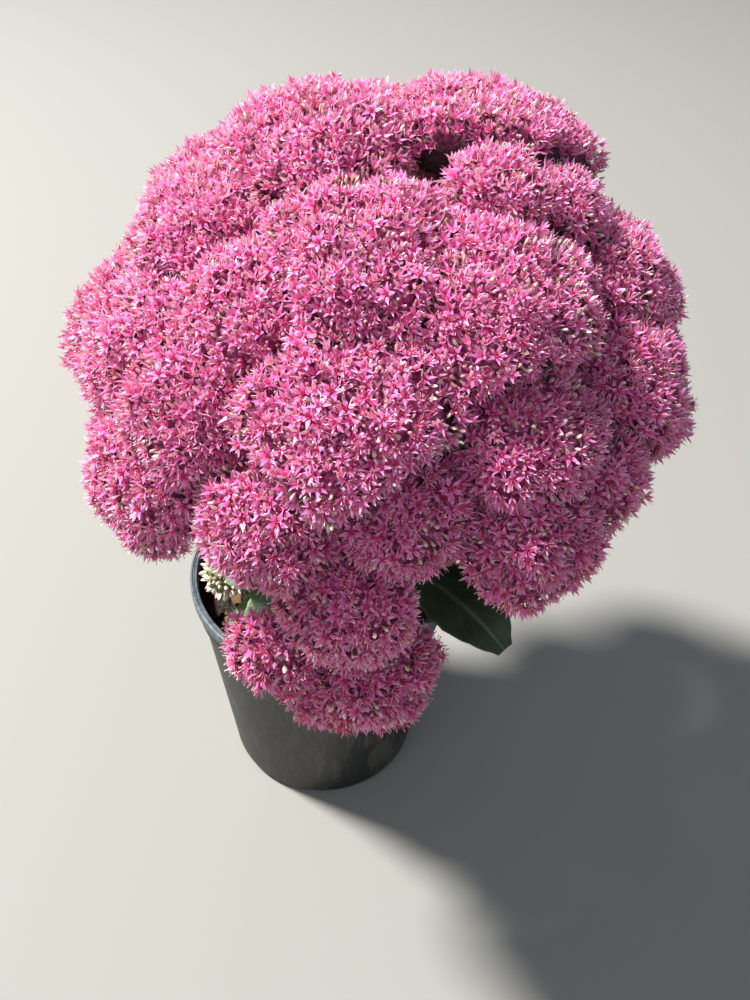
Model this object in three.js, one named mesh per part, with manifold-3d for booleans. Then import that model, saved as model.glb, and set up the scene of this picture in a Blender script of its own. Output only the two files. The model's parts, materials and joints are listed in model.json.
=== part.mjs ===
// A potted stonecrop: a black nursery pot of soil, leafy stems, and a dome of starry pink flower heads.
// Millimetres, +Z up. The origin is on the surface that the pot stands on, under the middle of the crown.
import * as THREE from "three";
import { ConvexHull } from "three/addons/math/ConvexHull.js";
import { mergeVertices } from "three/addons/utils/BufferGeometryUtils.js";
import Module from "manifold-3d";

const wasm = await Module();
wasm.setup();

// Driving dimensions of the pot and its soil
const pot = {
  x: -33, // of its axis: the crown leans out over one side of it
  height: 165,
  lipRadius: 82.5,
  lipWidth: 4.6,
  lipHeight: 8,
  edge: 1, // of the lip's rounding
  collarRadius: 79.8,
  collarHeight: 20.5,
  shoulderRadius: 78.2,
  footRadius: 63.5,
  footCorner: 3.5, // how far the rounded corner at the foot comes in, and how high it reaches
  footCurve: 6,
  footRing: 5, // width of the flat ring that the pot stands on
  footSlope: 3,
  footRecess: 4,
  wall: 1.6,
  sides: 32,
  drainHoles: 6,
  drainRadius: 5,
  drainSides: 8,
};
const soil = {
  level: 146,
  sides: 16,
  rings: [0.35, 0.7, 1],
  swell: 3.5, // height and length of its low waves, and of the lumps on them
  swellLength: 52,
  lump: 1.5,
  lumpLength: 30,
};
const gap = 0.3; // between pieces that touch
const headGap = 0.6; // between two flower heads pressed together

// The whole crown is a dome, and each head is centred on it by bearing and rise, in degrees
const dome = { middle: new THREE.Vector3(0, 0, 305), radius: 163, height: 152 };
const upwardLean = 0.3; // how far a head turns from the dome's normal towards the sky

// Each stem carries one to three heads: [name, bearing, rise, radius, height, stand out]
const stems = {
  top: [["top_back", 12, 70, 62, 38, 11], ["top_left", 180, 77, 55, 34, 9]],
  crown: [["crown", -104, 62, 54, 36, 4], ["inner_left", -130, 48, 40, 28, 0]],
  left: [["left_upper", -167, 55, 46, 31, 1], ["left", -153, 35, 47, 33, 1]],
  left_low: [["left_mid", -135, 31, 42, 31, 2], ["left_low", -142, 14, 48, 35, 1]],
  front: [["front", -100, 35, 63, 45, 7], ["front_low", -113, 15, 38, 29, 1]],
  right: [
    ["right", -64, 52, 59, 42, 5],
    ["small_top", -38, 68, 28, 21, 5],
    ["small_right", -19, 59, 27, 20, 3],
  ],
  right_side: [["right_back", -13, 42, 48, 35, 1], ["right_edge", -34, 27, 45, 32, 2]],
  right_low: [["right_low", -64, 29, 41, 32, 2], ["small_low", -49, 15, 29, 23, 1]],
  round: [["round", -65, 11, 41, 33, 5], ["shade", -89, 19, 36, 27, -6]],
  hanging: [
    ["hanging", -98, -27, 46, 42, 22],
    ["hanging_upper", -99, -4, 36, 28, 3],
    ["hanging_side", -112, -18, 27, 22, 14],
  ],
  back: [["back", 92, 58, 55, 36, 1], ["back_right", 42, 42, 55, 37, 1]],
  back_left: [["back_left", 141, 45, 55, 37, 1], ["far_left", 173, 20, 50, 36, 0]],
  back_low: [["back_low", 118, 16, 53, 37, 0], ["back_side", 80, 15, 53, 37, 0]],
  back_corner: [["back_corner", 43, 12, 53, 37, 0], ["right_end", 5, 12, 50, 36, 0]],
};

const petals = 5;
const floret = {
  spacing: 20.6,
  reach: 0.72, // petal tips and roots, as shares of the spacing
  root: 0.29,
  rise: 5.5, // of the petal tips above the head's core
  eyeRise: 4.5,
  meeting: 0.47, // where a petal ends, on the way to the next floret's eye
  clearance: 0.8, // of the tips over the core, at the least
  pressed: 2.5, // how far they stand out where two heads press together
  deepest: 9, // in the crease between two heads
};
const lobe = {
  spacing: 38,
  cap: 0.75, // of a half sphere's area, that a head's top has
  spread: 0.92, // of the way to the rim
  edge: 0.9, // the cosine from a lobe's middle to its edge
  crease: 1.1,
};
const core = {
  underside: 5, // how far a head's core reaches below its centre
  rimAngle: 92, // off the axis, of the points along the rim
  rimSpacing: 25,
  rimRoom: 9, // of those points from the florets
  baseAngle: 150,
  basePoints: 3,
};

const stalk = {
  radius: 3.8,
  sides: 5,
  steps: 5,
  depth: 40, // of its foot under the soil
  holeRoom: 0.4, // round it in the soil
  upright: 0.42, // how stiffly it starts upwards and ends along the head's axis, as shares of its length
  arrival: 0.4,
  spread: [0.22, 0.36], // of the feet in the pot, as shares of the spread of the highest and lowest heads
  sideShare: 0.6, // up the main stalk, where the side shoots leave it
  sideRadius: 2.8,
  sideSides: 3,
  sideSteps: 3,
  sideArrival: 0.55,
};
const twig = {
  radius: 1.7,
  sides: 3,
  manyOver: 50, // radius of the heads that have three twigs and not two
  spread: 0.52, // of the head's radius
  room: 4, // from the next head
  fork: 40, // from the stalk's end to the first twig, and the step to the next
  step: 5,
  lowest: 0.3, // share up the stalk
  slope: 0.75, // of the head's underside, against a plain cone
  clear: 1.2, // of its end under the head, in twig radii
};
const leaf = {
  length: 76,
  width: 36,
  thickness: 2.4,
  fold: 0.2, // how far the blade's edges rise, as a share of the half width
  neck: 0.12, // half width at the base, as a share of the widest
  forward: 1.5, // powers that put the widest place beyond the middle and round the blade out
  fullness: 0.7,
  tipCut: 0.985,
  thinning: 0.5,
  tooth: 0.08,
  stations: 6,
  rise: 30,
  droop: 75,
  room: 1, // all round a leaf
  lowest: 0.36, // node up the main stalk, and the step to the next
  step: 0.17,
  perStem: 2,
  sunk: 60, // mm3 of a leaf inside its own stem, at the most
};

// A leaf that meets something is tried again: turned, a little higher, shorter and lower in its rise
const retry = { most: 40, turn: 137.5, climb: 0.03, climbs: 4, shrink: 0.06, shrinks: 5, dip: 8, dips: 3 };

// Leaves seen under the front heads: [stem, share up its stalk, bearing, rise, droop, length]
const frontLeaves = [
  ["round", 0.46, -48, 25, 60, 90],
  ["round", 0.63, -14, 5, 45, 92],
  ["left_low", 0.52, -129, 10, 80, 54],
  ["left_low", 0.5, -98, -10, 50, 62],
  ["hanging", 0.44, -168, 34, 80, 64],
  ["hanging", 0.6, -60, 20, 60, 60],
];

// The cluster of unopened buds, low inside the rim
const buds = {
  tip: new THREE.Vector3(-92, -43, 217),
  axis: new THREE.Vector3(-0.35, -0.3, 0.9).normalize(),
  radius: 19,
  height: 18,
  spacing: 6.5,
  root: 0.3,
  length: 6.5,
};
const goldenAngle = Math.PI * (3 - Math.sqrt(5));
const circle = 2 * Math.PI;
const mergeDistance = 1e-4;

const vec = (x, y, z) => new THREE.Vector3(x, y, z);
const radians = THREE.MathUtils.degToRad;
const up = vec(0, 0, 1);

// A repeatable draw between 0 and 1
function chance(n) {
  const s = Math.sin(n * 12.9898) * 43758.5453;
  return s - Math.floor(s);
}

// A geometry as a solid, and a solid as a geometry
function toSolid(geometry) {
  const bare = new THREE.BufferGeometry();
  bare.setAttribute("position", geometry.getAttribute("position").clone());
  if (geometry.index) bare.setIndex(geometry.index.clone());
  const merged = mergeVertices(bare, mergeDistance);
  const vertProperties = new Float32Array(merged.attributes.position.array);
  const triVerts = new Uint32Array(merged.index.array);
  return new wasm.Manifold(new wasm.Mesh({ numProp: 3, vertProperties, triVerts }));
}

function toGeometry(solid) {
  const mesh = solid.getMesh();
  const positions = new Float32Array(mesh.numVert * 3);
  for (let i = 0; i < mesh.numVert; i++)
    for (let k = 0; k < 3; k++) positions[3 * i + k] = mesh.vertProperties[i * mesh.numProp + k];
  const geometry = new THREE.BufferGeometry();
  geometry.setAttribute("position", new THREE.BufferAttribute(positions, 3));
  geometry.setIndex(new THREE.BufferAttribute(new Uint32Array(mesh.triVerts), 1));
  geometry.computeVertexNormals();
  return geometry;
}

const join = (solids) => solids.reduce((whole, piece) => whole.add(piece));

// A closed surface from points and triangles
function meshFrom(points, triangles) {
  const geometry = new THREE.BufferGeometry();
  const flat = points.flatMap((p) => p.toArray());
  geometry.setAttribute("position", new THREE.Float32BufferAttribute(flat, 3));
  geometry.setIndex(triangles.flat());
  return geometry;
}

// A profile of [radius, height] pairs turned round the pot's axis
function turned(profile, sides) {
  const geometry = new THREE.LatheGeometry(profile.map(([r, z]) => new THREE.Vector2(r, z)), sides);
  return geometry.rotateX(Math.PI / 2).translate(pot.x, 0, 0);
}

// The pot: a tapered wall with a rolled lip, a collar under it and a recessed foot with drain holes
function potSolid() {
  const { height: h, wall, edge, lipRadius: lip, lipWidth, lipHeight, collarRadius, collarHeight } = pot;
  const floor = pot.footRecess + wall;
  const tread = pot.footRadius - pot.footCorner;
  const recess = tread - pot.footRing - pot.footSlope;
  const profile = [
    [0, floor],
    [tread - wall, floor],
    [pot.footRadius - wall, floor + pot.footCurve],
    [pot.shoulderRadius - wall, h - collarHeight],
    [lip - lipWidth, h - edge],
    [lip - lipWidth + edge, h],
    [lip - edge, h],
    [lip, h - edge],
    [lip, h - lipHeight],
    [collarRadius, h - lipHeight],
    [collarRadius, h - collarHeight],
    [pot.shoulderRadius, h - collarHeight - edge],
    [pot.footRadius, pot.footCurve],
    [tread, 0],
    [tread - pot.footRing, 0],
    [recess, pot.footRecess],
    [0, pot.footRecess],
  ];
  const body = toSolid(turned(profile.toReversed(), pot.sides));
  const holes = [];
  const ring = recess - 2 * pot.drainRadius;
  for (let i = 0; i < pot.drainHoles; i++) {
    const angle = ((i + 0.5) / pot.drainHoles) * circle;
    const hole = new THREE.CylinderGeometry(pot.drainRadius, pot.drainRadius, 4 * wall, pot.drainSides);
    hole.rotateX(Math.PI / 2);
    hole.translate(pot.x + ring * Math.cos(angle), ring * Math.sin(angle), pot.footRecess + wall / 2);
    holes.push(toSolid(hole));
  }
  return body.subtract(join(holes));
}

// The inside of the pot's wall at a height
function innerRadius(z) {
  const low = pot.footRecess + pot.wall + pot.footCurve;
  const high = pot.height - pot.collarHeight;
  const share = (Math.min(z, high) - low) / (high - low);
  return THREE.MathUtils.lerp(pot.footRadius, pot.shoulderRadius, share) - pot.wall;
}

// The soil: the pot's filling, with a crumbly top raised by a formula
function soilSolid() {
  const floor = pot.footRecess + pot.wall + gap;
  const bend = floor + pot.footCurve;
  const bottom = pot.footRadius - pot.footCorner - pot.wall - 2 * gap;
  const wide = innerRadius(soil.level) - gap;
  const profile = [[0, floor], [bottom, floor], [innerRadius(bend) - 2 * gap, bend]];
  for (const share of soil.rings.toReversed()) profile.push([wide * share, soil.level]);
  profile.push([0, soil.level]);
  const geometry = turned(profile, soil.sides);
  const at = geometry.getAttribute("position");
  for (let i = 0; i < at.count; i++) {
    const [x, y, z] = [at.getX(i), at.getY(i), at.getZ(i)];
    if (z < soil.level - soil.lump) continue;
    const wave = Math.sin((circle * x) / soil.swellLength + 1) * Math.cos((circle * y) / soil.swellLength);
    const lump = Math.sin((circle * (x - y)) / soil.lumpLength);
    at.setZ(i, z + soil.swell * wave + soil.lump * lump);
  }
  return toSolid(geometry);
}

// A head's own frame: the centre of its flat underside, its axis and two directions across it
function headAt(name, seed, tip, axis, radius, height) {
  const across = vec(0, 1, 0).cross(axis).normalize();
  const along = axis.clone().cross(across);
  const centre = tip.clone().addScaledVector(axis, -height);
  const head = { name, seed, radius, height, axis, centre, across, along };
  head.lobes = lobesOf(head);
  return head;
}

// A head on the dome, leaning from the dome's normal towards the sky
function domeHead([name, bearing, rise, radius, height, standOut], seed) {
  const [b, e] = [radians(bearing), radians(rise)];
  const onDome = vec(Math.cos(e) * Math.cos(b), Math.cos(e) * Math.sin(b), Math.sin(e));
  const normal = vec(onDome.x / dome.radius, onDome.y / dome.radius, onDome.z / dome.height).normalize();
  const tip = onDome
    .multiply(vec(dome.radius, dome.radius, dome.height))
    .add(dome.middle)
    .addScaledVector(normal, standOut);
  const axis = normal.clone().addScaledVector(up, upwardLean).normalize();
  return headAt(name, seed, tip, axis, radius, height);
}

// A direction in a head's own frame, from its angle off the axis and its turn round it
function direction(head, off, turn) {
  return head.axis
    .clone()
    .multiplyScalar(Math.cos(off))
    .addScaledVector(head.across, Math.sin(off) * Math.cos(turn))
    .addScaledVector(head.along, Math.sin(off) * Math.sin(turn));
}

// A head's branches end in rounded lobes, spread evenly over its cap
function lobesOf(head) {
  const count = Math.max(1, Math.round((circle * head.radius ** 2 * lobe.cap) / lobe.spacing ** 2));
  const lobes = [];
  for (let i = 0; i < count; i++) {
    const off = Math.acos(1 - (lobe.spread * (i + 0.5)) / count);
    lobes.push(direction(head, off, i * goldenAngle + circle * chance(head.seed)));
  }
  return lobes;
}

// How far a head's core would reach in a direction: a low dome of lobes over a nearly flat underside
function freeReach(head, way) {
  const c = way.dot(head.axis);
  const s2 = Math.max(0, 1 - c * c);
  const across = head.radius - floret.rise;
  const tall = c > 0 ? head.height - floret.rise : core.underside;
  const plain = 1 / Math.sqrt(s2 / across ** 2 + (c * c) / tall ** 2);
  const nearest = Math.max(...head.lobes.map((l) => l.dot(way)));
  return plain * (1 - lobe.crease * (1 - Math.max(nearest, lobe.edge)));
}

// The core stops short of the neighbours, to leave its florets room
function reach(head, heads, way) {
  return Math.min(freeReach(head, way), limit(head, heads, way) - floret.pressed);
}

const onCore = (head, heads, way) => way.clone().multiplyScalar(reach(head, heads, way));

// Which way the core faces there, from its slope across a few degrees
function facing(head, heads, way) {
  const step = 0.12;
  const side = way.clone().cross(head.across).normalize();
  const front = side.clone().cross(way);
  const edge = (along, far) => onCore(head, heads, way.clone().addScaledVector(along, far).normalize());
  const a = edge(side, step).sub(edge(side, -step));
  const b = edge(front, step).sub(edge(front, -step));
  return b.cross(a).normalize();
}

// Neighbouring heads press flat against each other on a plane between their centres
function limit(head, heads, way) {
  let most = Infinity;
  for (const other of heads) {
    if (other === head) continue;
    const between = other.centre.clone().sub(head.centre);
    const distance = between.length();
    const towards = way.dot(between) / distance;
    if (towards <= 0) continue;
    const share = (distance * head.radius) / (head.radius + other.radius);
    most = Math.min(most, (share - headGap / 2) / towards);
  }
  return most;
}

// Where florets sit on a head, each clear of the last by the spacing
function placesOn(head, heads, spacing) {
  const tries = 1500;
  const found = [];
  for (let i = 0; i < tries; i++) {
    const way = direction(head, Math.acos(1 - (i + 0.5) / tries), i * goldenAngle);
    const place = onCore(head, heads, way);
    if (freeReach(head, way) - place.length() > floret.deepest) continue;
    if (found.some((f) => f.place.distanceTo(place) < spacing)) continue;
    const normal = facing(head, heads, way);
    const eye = pressed(head, heads, place.clone().addScaledVector(normal, floret.eyeRise));
    found.push({ place, normal, eye });
  }
  return found;
}

// A point drawn in until it is clear of the neighbouring heads
function pressed(head, heads, point) {
  return point.setLength(Math.min(point.length(), limit(head, heads, point.clone().normalize())));
}

const isPressed = (head, heads, point) => point.length() > limit(head, heads, point.clone().normalize());

// A point beside a floret's place, at a distance and a turn round its normal
function beside(head, { place, normal }, distance, angle) {
  const side = normal.clone().cross(head.across).normalize();
  const front = side.clone().cross(normal);
  return place
    .clone()
    .addScaledVector(side, distance * Math.cos(angle))
    .addScaledVector(front, distance * Math.sin(angle));
}

// A floret's points: five roots on the core, five tips and an eye. Petals end halfway to the next floret
function floretAt(head, heads, places, index) {
  const { place, normal, eye } = places[index];
  const turn = circle * chance(head.seed * places.length + index);
  const [roots, tips] = [[], []];
  for (let k = 0; k < petals; k++) {
    const angle = turn + (k * circle) / petals;
    const root = beside(head, places[index], floret.root * floret.spacing, angle - Math.PI / petals);
    roots.push(onCore(head, heads, root.normalize()));
    const tip = beside(head, places[index], floret.reach * floret.spacing, angle);
    const petal = tip.addScaledVector(normal, floret.rise).sub(eye);
    for (const other of places) {
      if (other.eye === eye) continue;
      const between = other.eye.clone().sub(eye);
      const share = (floret.meeting * between.lengthSq()) / petal.dot(between);
      if (share > 0 && share < 1) petal.multiplyScalar(share);
    }
    while (petal.length() > 1 && isPressed(head, heads, eye.clone().add(petal))) petal.multiplyScalar(0.9);
    tips.push(petal.add(eye));
  }
  const bases = (k) => [roots[k], roots[(k + 1) % petals], eye];
  const spans = tips.flatMap((tip, k) => bases(k).map((from) => [from, tip]));
  return { place, roots, ends: [...tips, eye], spans };
}

function floretsOf(head, heads) {
  const places = placesOn(head, heads, floret.spacing);
  return places.map((_, i) => floretAt(head, heads, places, i));
}

// The triangles between directions, as the hull of points on a sphere
function trianglesOver(ways) {
  const index = new Map(ways.map((w, i) => [w, i]));
  return new ConvexHull().setFromPoints(ways).faces.map((face) => {
    const edge = face.getEdge(0);
    return [edge, edge.next, edge.next.next].map((e) => index.get(e.head().point));
  });
}

// How far the core's skin reaches towards a point
function skinUnder(points, triangles, point) {
  const ray = new THREE.Ray(vec(0, 0, 0), point.clone().normalize());
  const hit = vec(0, 0, 0);
  for (const [a, b, c] of triangles)
    if (ray.intersectTriangle(points[a], points[b], points[c], false, hit)) return hit.length();
  return 0;
}

// The core's skin between the florets' roots: points, triangles and the florets that stand clear of it
function coreSkin(head, heads, florets) {
  const points = florets.flatMap((f) => f.roots);
  const addTo = (way, room) => {
    const point = onCore(head, heads, way);
    if (florets.every((f) => f.place.distanceTo(point) > room)) points.push(point);
  };
  const ring = (angle, count, room) => {
    for (let i = 0; i < count; i++)
      addTo(direction(head, radians(angle), ((i + 0.5) * circle) / count), room);
  };
  ring(core.rimAngle, Math.max(6, Math.round((circle * head.radius) / core.rimSpacing)), core.rimRoom);
  ring(core.baseAngle, core.basePoints, 0);
  addTo(head.axis.clone().negate(), 0);
  const owner = (i) => (i < petals * florets.length ? Math.floor(i / petals) : -1 - i);
  const open = florets.map(() => 0);
  const triangles = trianglesOver(points.map((p) => p.clone().normalize())).filter(([a, b, c]) => {
    if (owner(a) !== owner(b) || owner(b) !== owner(c)) return true;
    open[owner(a)]++;
    return false;
  });
  const under = (p, room) => p.length() < skinUnder(points, triangles, p) + room;
  const sags = ([a, b]) => under(a.clone().lerp(b, 0.5), 0);
  const buried = (f) => f.ends.some((p) => under(p, floret.clearance)) || f.spans.some(sags);
  const misfit = florets.find((f, n) => open[n] !== petals - 2 || buried(f));
  if (!misfit) return { points, triangles, florets };
  return coreSkin(head, heads, florets.filter((f) => f !== misfit));
}

// A head: a core with starry florets standing out of it, each of five petals
function headSolid(head, heads) {
  const { points, triangles, florets } = coreSkin(head, heads, floretsOf(head, heads));
  florets.forEach((f, n) => {
    const first = points.length;
    points.push(...f.ends);
    for (let k = 0; k < petals; k++) {
      const [root, next] = [petals * n + k, petals * n + ((k + 1) % petals)];
      const [tip, eye] = [first + k, first + petals];
      triangles.push([next, root, tip], [root, eye, tip], [eye, next, tip]);
    }
  });
  return toSolid(meshFrom(points.map((p) => p.clone().add(head.centre)), triangles));
}

// The bud cluster: a small core under a crowd of pointed buds
function budSolid(head) {
  const cones = placesOn(head, [], buds.spacing).map((seat) => {
    const roots = [];
    for (let k = 0; k < petals; k++) {
      const root = beside(head, seat, buds.root * buds.spacing, (k * circle) / petals);
      roots.push(onCore(head, [], root.normalize()));
    }
    const tip = seat.place.clone().addScaledVector(seat.normal, buds.length);
    return { place: seat.place, roots, ends: [tip], spans: [] };
  });
  const { points, triangles, florets } = coreSkin(head, [], cones);
  florets.forEach((f, n) => {
    points.push(...f.ends);
    for (let k = 0; k < petals; k++)
      triangles.push([petals * n + ((k + 1) % petals), petals * n + k, points.length - 1]);
  });
  return toSolid(meshFrom(points.map((p) => p.clone().add(head.centre)), triangles));
}

// A round bar along a curve
function bar(curve, radius, sides, steps) {
  const outline = new THREE.Shape();
  for (let i = 0; i < sides; i++) {
    const angle = (i / sides) * circle;
    outline[i ? "lineTo" : "moveTo"](radius * Math.cos(angle), radius * Math.sin(angle));
  }
  outline.closePath();
  return toSolid(new THREE.ExtrudeGeometry(outline, { steps, extrudePath: curve }));
}

const below = (head, distance) => head.centre.clone().addScaledVector(head.axis, -distance);
const seatOf = (head) => below(head, core.underside + gap);

// The main stalk stands in the soil and bends up under its first head
function stalkCurve(head) {
  const low = 1 - (head.centre.z - dome.middle.z) / dome.height;
  const share = THREE.MathUtils.lerp(...stalk.spread, Math.min(1, low));
  const foot = head.centre.clone().sub(dome.middle).multiplyScalar(share);
  foot.setX(foot.x + pot.x).setZ(soil.level - stalk.depth);
  const far = foot.distanceTo(head.centre);
  const start = foot.clone().addScaledVector(up, stalk.upright * far);
  return new THREE.CubicBezierCurve3(foot, start, below(head, stalk.arrival * far), seatOf(head));
}

// A side shoot leaves the main stalk and turns up under its own head
function sideCurve(main, head) {
  const from = main.getPoint(stalk.sideShare);
  const bend = below(head, stalk.sideArrival * from.distanceTo(head.centre));
  return new THREE.QuadraticBezierCurve3(from, bend, seatOf(head));
}

// Twigs leave the end of a stalk one after another and stop close under the cone of the head's underside
function twigs(head, heads, curve) {
  const count = head.radius > twig.manyOver ? 3 : 2;
  const length = curve.getLength();
  const fan = [];
  for (let i = 0; i < count; i++) {
    const from = curve.getPointAt(Math.max(twig.lowest, 1 - (twig.fork - i * twig.step) / length));
    const lateral = direction(head, Math.PI / 2, (i * circle) / count + head.seed);
    const out = Math.min(twig.spread * head.radius, limit(head, heads, lateral) - twig.room);
    const cone = core.underside * (1 - (twig.slope * out) / (head.radius - floret.rise));
    const end = below(head, cone + gap + twig.clear * twig.radius).addScaledVector(lateral, out);
    fan.push(bar(new THREE.LineCurve3(from, end), twig.radius, twig.sides, 1));
  }
  return fan;
}

// A leaf: obovate, lightly toothed, folded along its midrib and drooping towards its tip
function leafSolid(base, bearing, rise, droop, length, extra = 0) {
  const b = radians(bearing);
  const ahead = vec(Math.cos(b), Math.sin(b), 0);
  const side = vec(-Math.sin(b), Math.cos(b), 0);
  const position = base.clone();
  const points = [];
  for (let i = 0; i <= leaf.stations; i++) {
    const u = i / leaf.stations;
    const pitch = radians(rise - droop * u);
    const over = ahead.clone().multiplyScalar(-Math.sin(pitch)).addScaledVector(up, Math.cos(pitch));
    const toothed = 1 + leaf.tooth * (i % 2 ? 1 : -1);
    const blade = Math.sin(Math.PI * Math.min(u, leaf.tipCut) ** leaf.forward) ** leaf.fullness;
    const widest = (leaf.width * length) / leaf.length / 2;
    const half = widest * THREE.MathUtils.lerp(leaf.neck, 1, blade * toothed) + extra;
    const thick = (leaf.thickness / 2) * (1 - leaf.thinning * u) + extra;
    const lift = leaf.fold * half;
    for (const [across, above] of [[0, thick], [half, lift], [0, -thick], [-half, lift]])
      points.push(position.clone().addScaledVector(side, across).addScaledVector(over, above));
    position.addScaledVector(ahead, (length / leaf.stations) * Math.cos(pitch));
    position.addScaledVector(up, (length / leaf.stations) * Math.sin(pitch));
  }
  const triangles = [[0, 1, 2], [0, 2, 3]];
  const last = 4 * leaf.stations;
  triangles.push([last, last + 2, last + 1], [last, last + 3, last + 2]);
  for (let i = 0; i < leaf.stations; i++)
    for (const [middle, edge, flip] of [[0, 1, false], [2, 1, true], [2, 3, false], [0, 3, true]]) {
      const [m, e] = [4 * i + middle, 4 * i + edge];
      for (const [x, y, z] of [[m, m + 4, e], [e, m + 4, e + 4]])
        triangles.push(flip ? [x, z, y] : [x, y, z]);
    }
  return toSolid(meshFrom(points, triangles));
}

const plant = new THREE.Group();
const colours = { pot: 0x2b2d2d, soil: 0x3a2b1e, green: 0x5f7a4a, pink: 0xd2588f, buds: 0xc9c69a };

function addNode(name, solid, colour, roughness = 0.6) {
  const material = new THREE.MeshStandardMaterial({ color: colour, roughness, metalness: 0 });
  const mesh = new THREE.Mesh(toGeometry(solid), material);
  mesh.name = name;
  plant.add(mesh);
}

const heads = Object.values(stems)
  .flat()
  .map((row, i) => domeHead(row, i + 1));
const headOf = (row) => heads.find((head) => head.name === row[0]);

const budHead = headAt("buds", 0, buds.tip, buds.axis, buds.radius, buds.height);

const potPiece = potSolid();
let soilPiece = soilSolid();
const headPieces = heads.map((head) => headSolid(head, heads));
const budPiece = budSolid(budHead);

// The bare stems, standing in their holes in the soil
const stemPieces = {};
const mains = {};
for (const [name, carried] of [...Object.entries(stems), ["buds", null]]) {
  const [first, ...others] = carried ? carried.map(headOf) : [budHead];
  const main = stalkCurve(first);
  const bars = [bar(main, stalk.radius, stalk.sides, stalk.steps)];
  if (carried) bars.push(...twigs(first, heads, main));
  for (const head of others) {
    const curve = sideCurve(main, head);
    const shoot = bar(curve, stalk.sideRadius, stalk.sideSides, stalk.sideSteps);
    bars.push(shoot, ...twigs(head, heads, curve));
  }
  mains[name] = main;
  stemPieces[name] = join(bars);
  soilPiece = soilPiece.subtract(bar(main, stalk.radius + stalk.holeRoom, stalk.sides, stalk.steps));
}

// A leaf is fused to its stem where it is clear of everything else
function addLeaf(stem, share, bearing, rise, droop, length) {
  const base = mains[stem].getPointAt(share);
  const others = Object.keys(stemPieces).filter((name) => name !== stem);
  const otherStems = others.map((name) => stemPieces[name]);
  const obstacles = [...headPieces, budPiece, potPiece, soilPiece, ...otherStems];
  const swollen = leafSolid(base, bearing, rise, droop, length, leaf.room);
  if (obstacles.some((piece) => piece.intersect(swollen).volume() > 0)) return false;
  const blade = leafSolid(base, bearing, rise, droop, length);
  if (stemPieces[stem].intersect(blade).volume() > leaf.sunk) return false;
  stemPieces[stem] = stemPieces[stem].add(blade);
  return true;
}

// A leaf at a node of a stem, on the first try that has room
function placeLeaf(stem, node, seed) {
  for (let i = 0; i < retry.most; i++) {
    const bearing = 360 * chance(seed) + retry.turn * i;
    const share = leaf.lowest + leaf.step * node + retry.climb * (i % retry.climbs);
    const rise = leaf.rise - retry.dip * (i % retry.dips);
    const length = leaf.length * (1 - retry.shrink * (i % retry.shrinks));
    if (addLeaf(stem, share, bearing, rise, leaf.droop, length)) return;
  }
}

for (const row of frontLeaves) addLeaf(...row);
Object.keys(stems).forEach((stem, i) => {
  const placed = frontLeaves.filter((row) => row[0] === stem).length;
  for (let node = placed; node < leaf.perStem; node++) placeLeaf(stem, node, leaf.perStem * i + node + 1);
});

addNode("pot", potPiece, colours.pot, 0.45);
addNode("soil", soilPiece, colours.soil, 0.95);
for (const [name, piece] of Object.entries(stemPieces)) addNode(`stem_${name}`, piece, colours.green);
heads.forEach((head, i) => addNode(`head_${head.name}`, headPieces[i], colours.pink));
addNode("bud_cluster", budPiece, colours.buds);

export default plant;
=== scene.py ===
# A stonecrop in flower in its nursery pot: fine pieces in place of the plain solids of the frame.
# Metres, with the frame's own origin and axes. Sizes in the dictionaries are in millimetres.
import json
import math
import random
from functools import partial

import bpy
import numpy as np
from mathutils import Euler, Matrix, Vector, noise

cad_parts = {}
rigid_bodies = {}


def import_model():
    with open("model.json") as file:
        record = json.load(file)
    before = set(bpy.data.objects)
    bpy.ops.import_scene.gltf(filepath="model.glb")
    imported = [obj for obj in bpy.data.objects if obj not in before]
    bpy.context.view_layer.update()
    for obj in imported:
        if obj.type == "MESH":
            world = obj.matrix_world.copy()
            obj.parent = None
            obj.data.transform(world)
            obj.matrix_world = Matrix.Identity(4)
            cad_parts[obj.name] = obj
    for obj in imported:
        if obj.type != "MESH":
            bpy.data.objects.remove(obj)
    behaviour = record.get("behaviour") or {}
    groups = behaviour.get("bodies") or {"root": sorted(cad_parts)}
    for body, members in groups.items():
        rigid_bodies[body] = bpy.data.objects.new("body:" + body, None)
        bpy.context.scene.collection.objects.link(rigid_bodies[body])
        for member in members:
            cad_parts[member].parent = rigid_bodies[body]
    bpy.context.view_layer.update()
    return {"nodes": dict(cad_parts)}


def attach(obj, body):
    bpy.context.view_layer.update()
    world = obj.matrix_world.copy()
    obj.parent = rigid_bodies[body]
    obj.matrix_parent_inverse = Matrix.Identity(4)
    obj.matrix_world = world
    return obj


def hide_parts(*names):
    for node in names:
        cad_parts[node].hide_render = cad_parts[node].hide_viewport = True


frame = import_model()
print("frame loaded with", len(frame["nodes"]), "nodes")

mm = 0.001
potAxis = -33 * mm  # the pot stands off the middle of the crown
goldenAngle = math.pi * (3 - math.sqrt(5))
wholeTurn = 6.283  # for draws all round
up = np.array([0.0, 0.0, 1.0])
draw = random.Random(11)


def unit(v):
    return v / np.linalg.norm(v, axis=-1, keepdims=True)


def chance(n):  # the same repeatable draw between 0 and 1 as in the solids
    s = math.sin(n * 12.9898) * 43758.5453
    return s - math.floor(s)


def between(ends, share):  # a value that far from the first to the second
    return ends[0] + (ends[1] - ends[0]) * share


# Camera and light
camera = {"place": (-33, -424.9, 617.8), "turn": (47.0546, -1.3764, -3.1593), "lens": 35}


def addCamera():
    data = bpy.data.cameras.new("camera")
    data.lens = camera["lens"]  # on the usual 36 mm sensor, along the picture's long side
    eye = bpy.data.objects.new("camera", data)
    bpy.context.collection.objects.link(eye)
    turn = Euler([math.radians(angle) for angle in camera["turn"]])
    eye.matrix_world = Matrix.LocRotScale(Vector(camera["place"]) * mm, turn, None)
    bpy.context.scene.camera = eye


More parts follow.
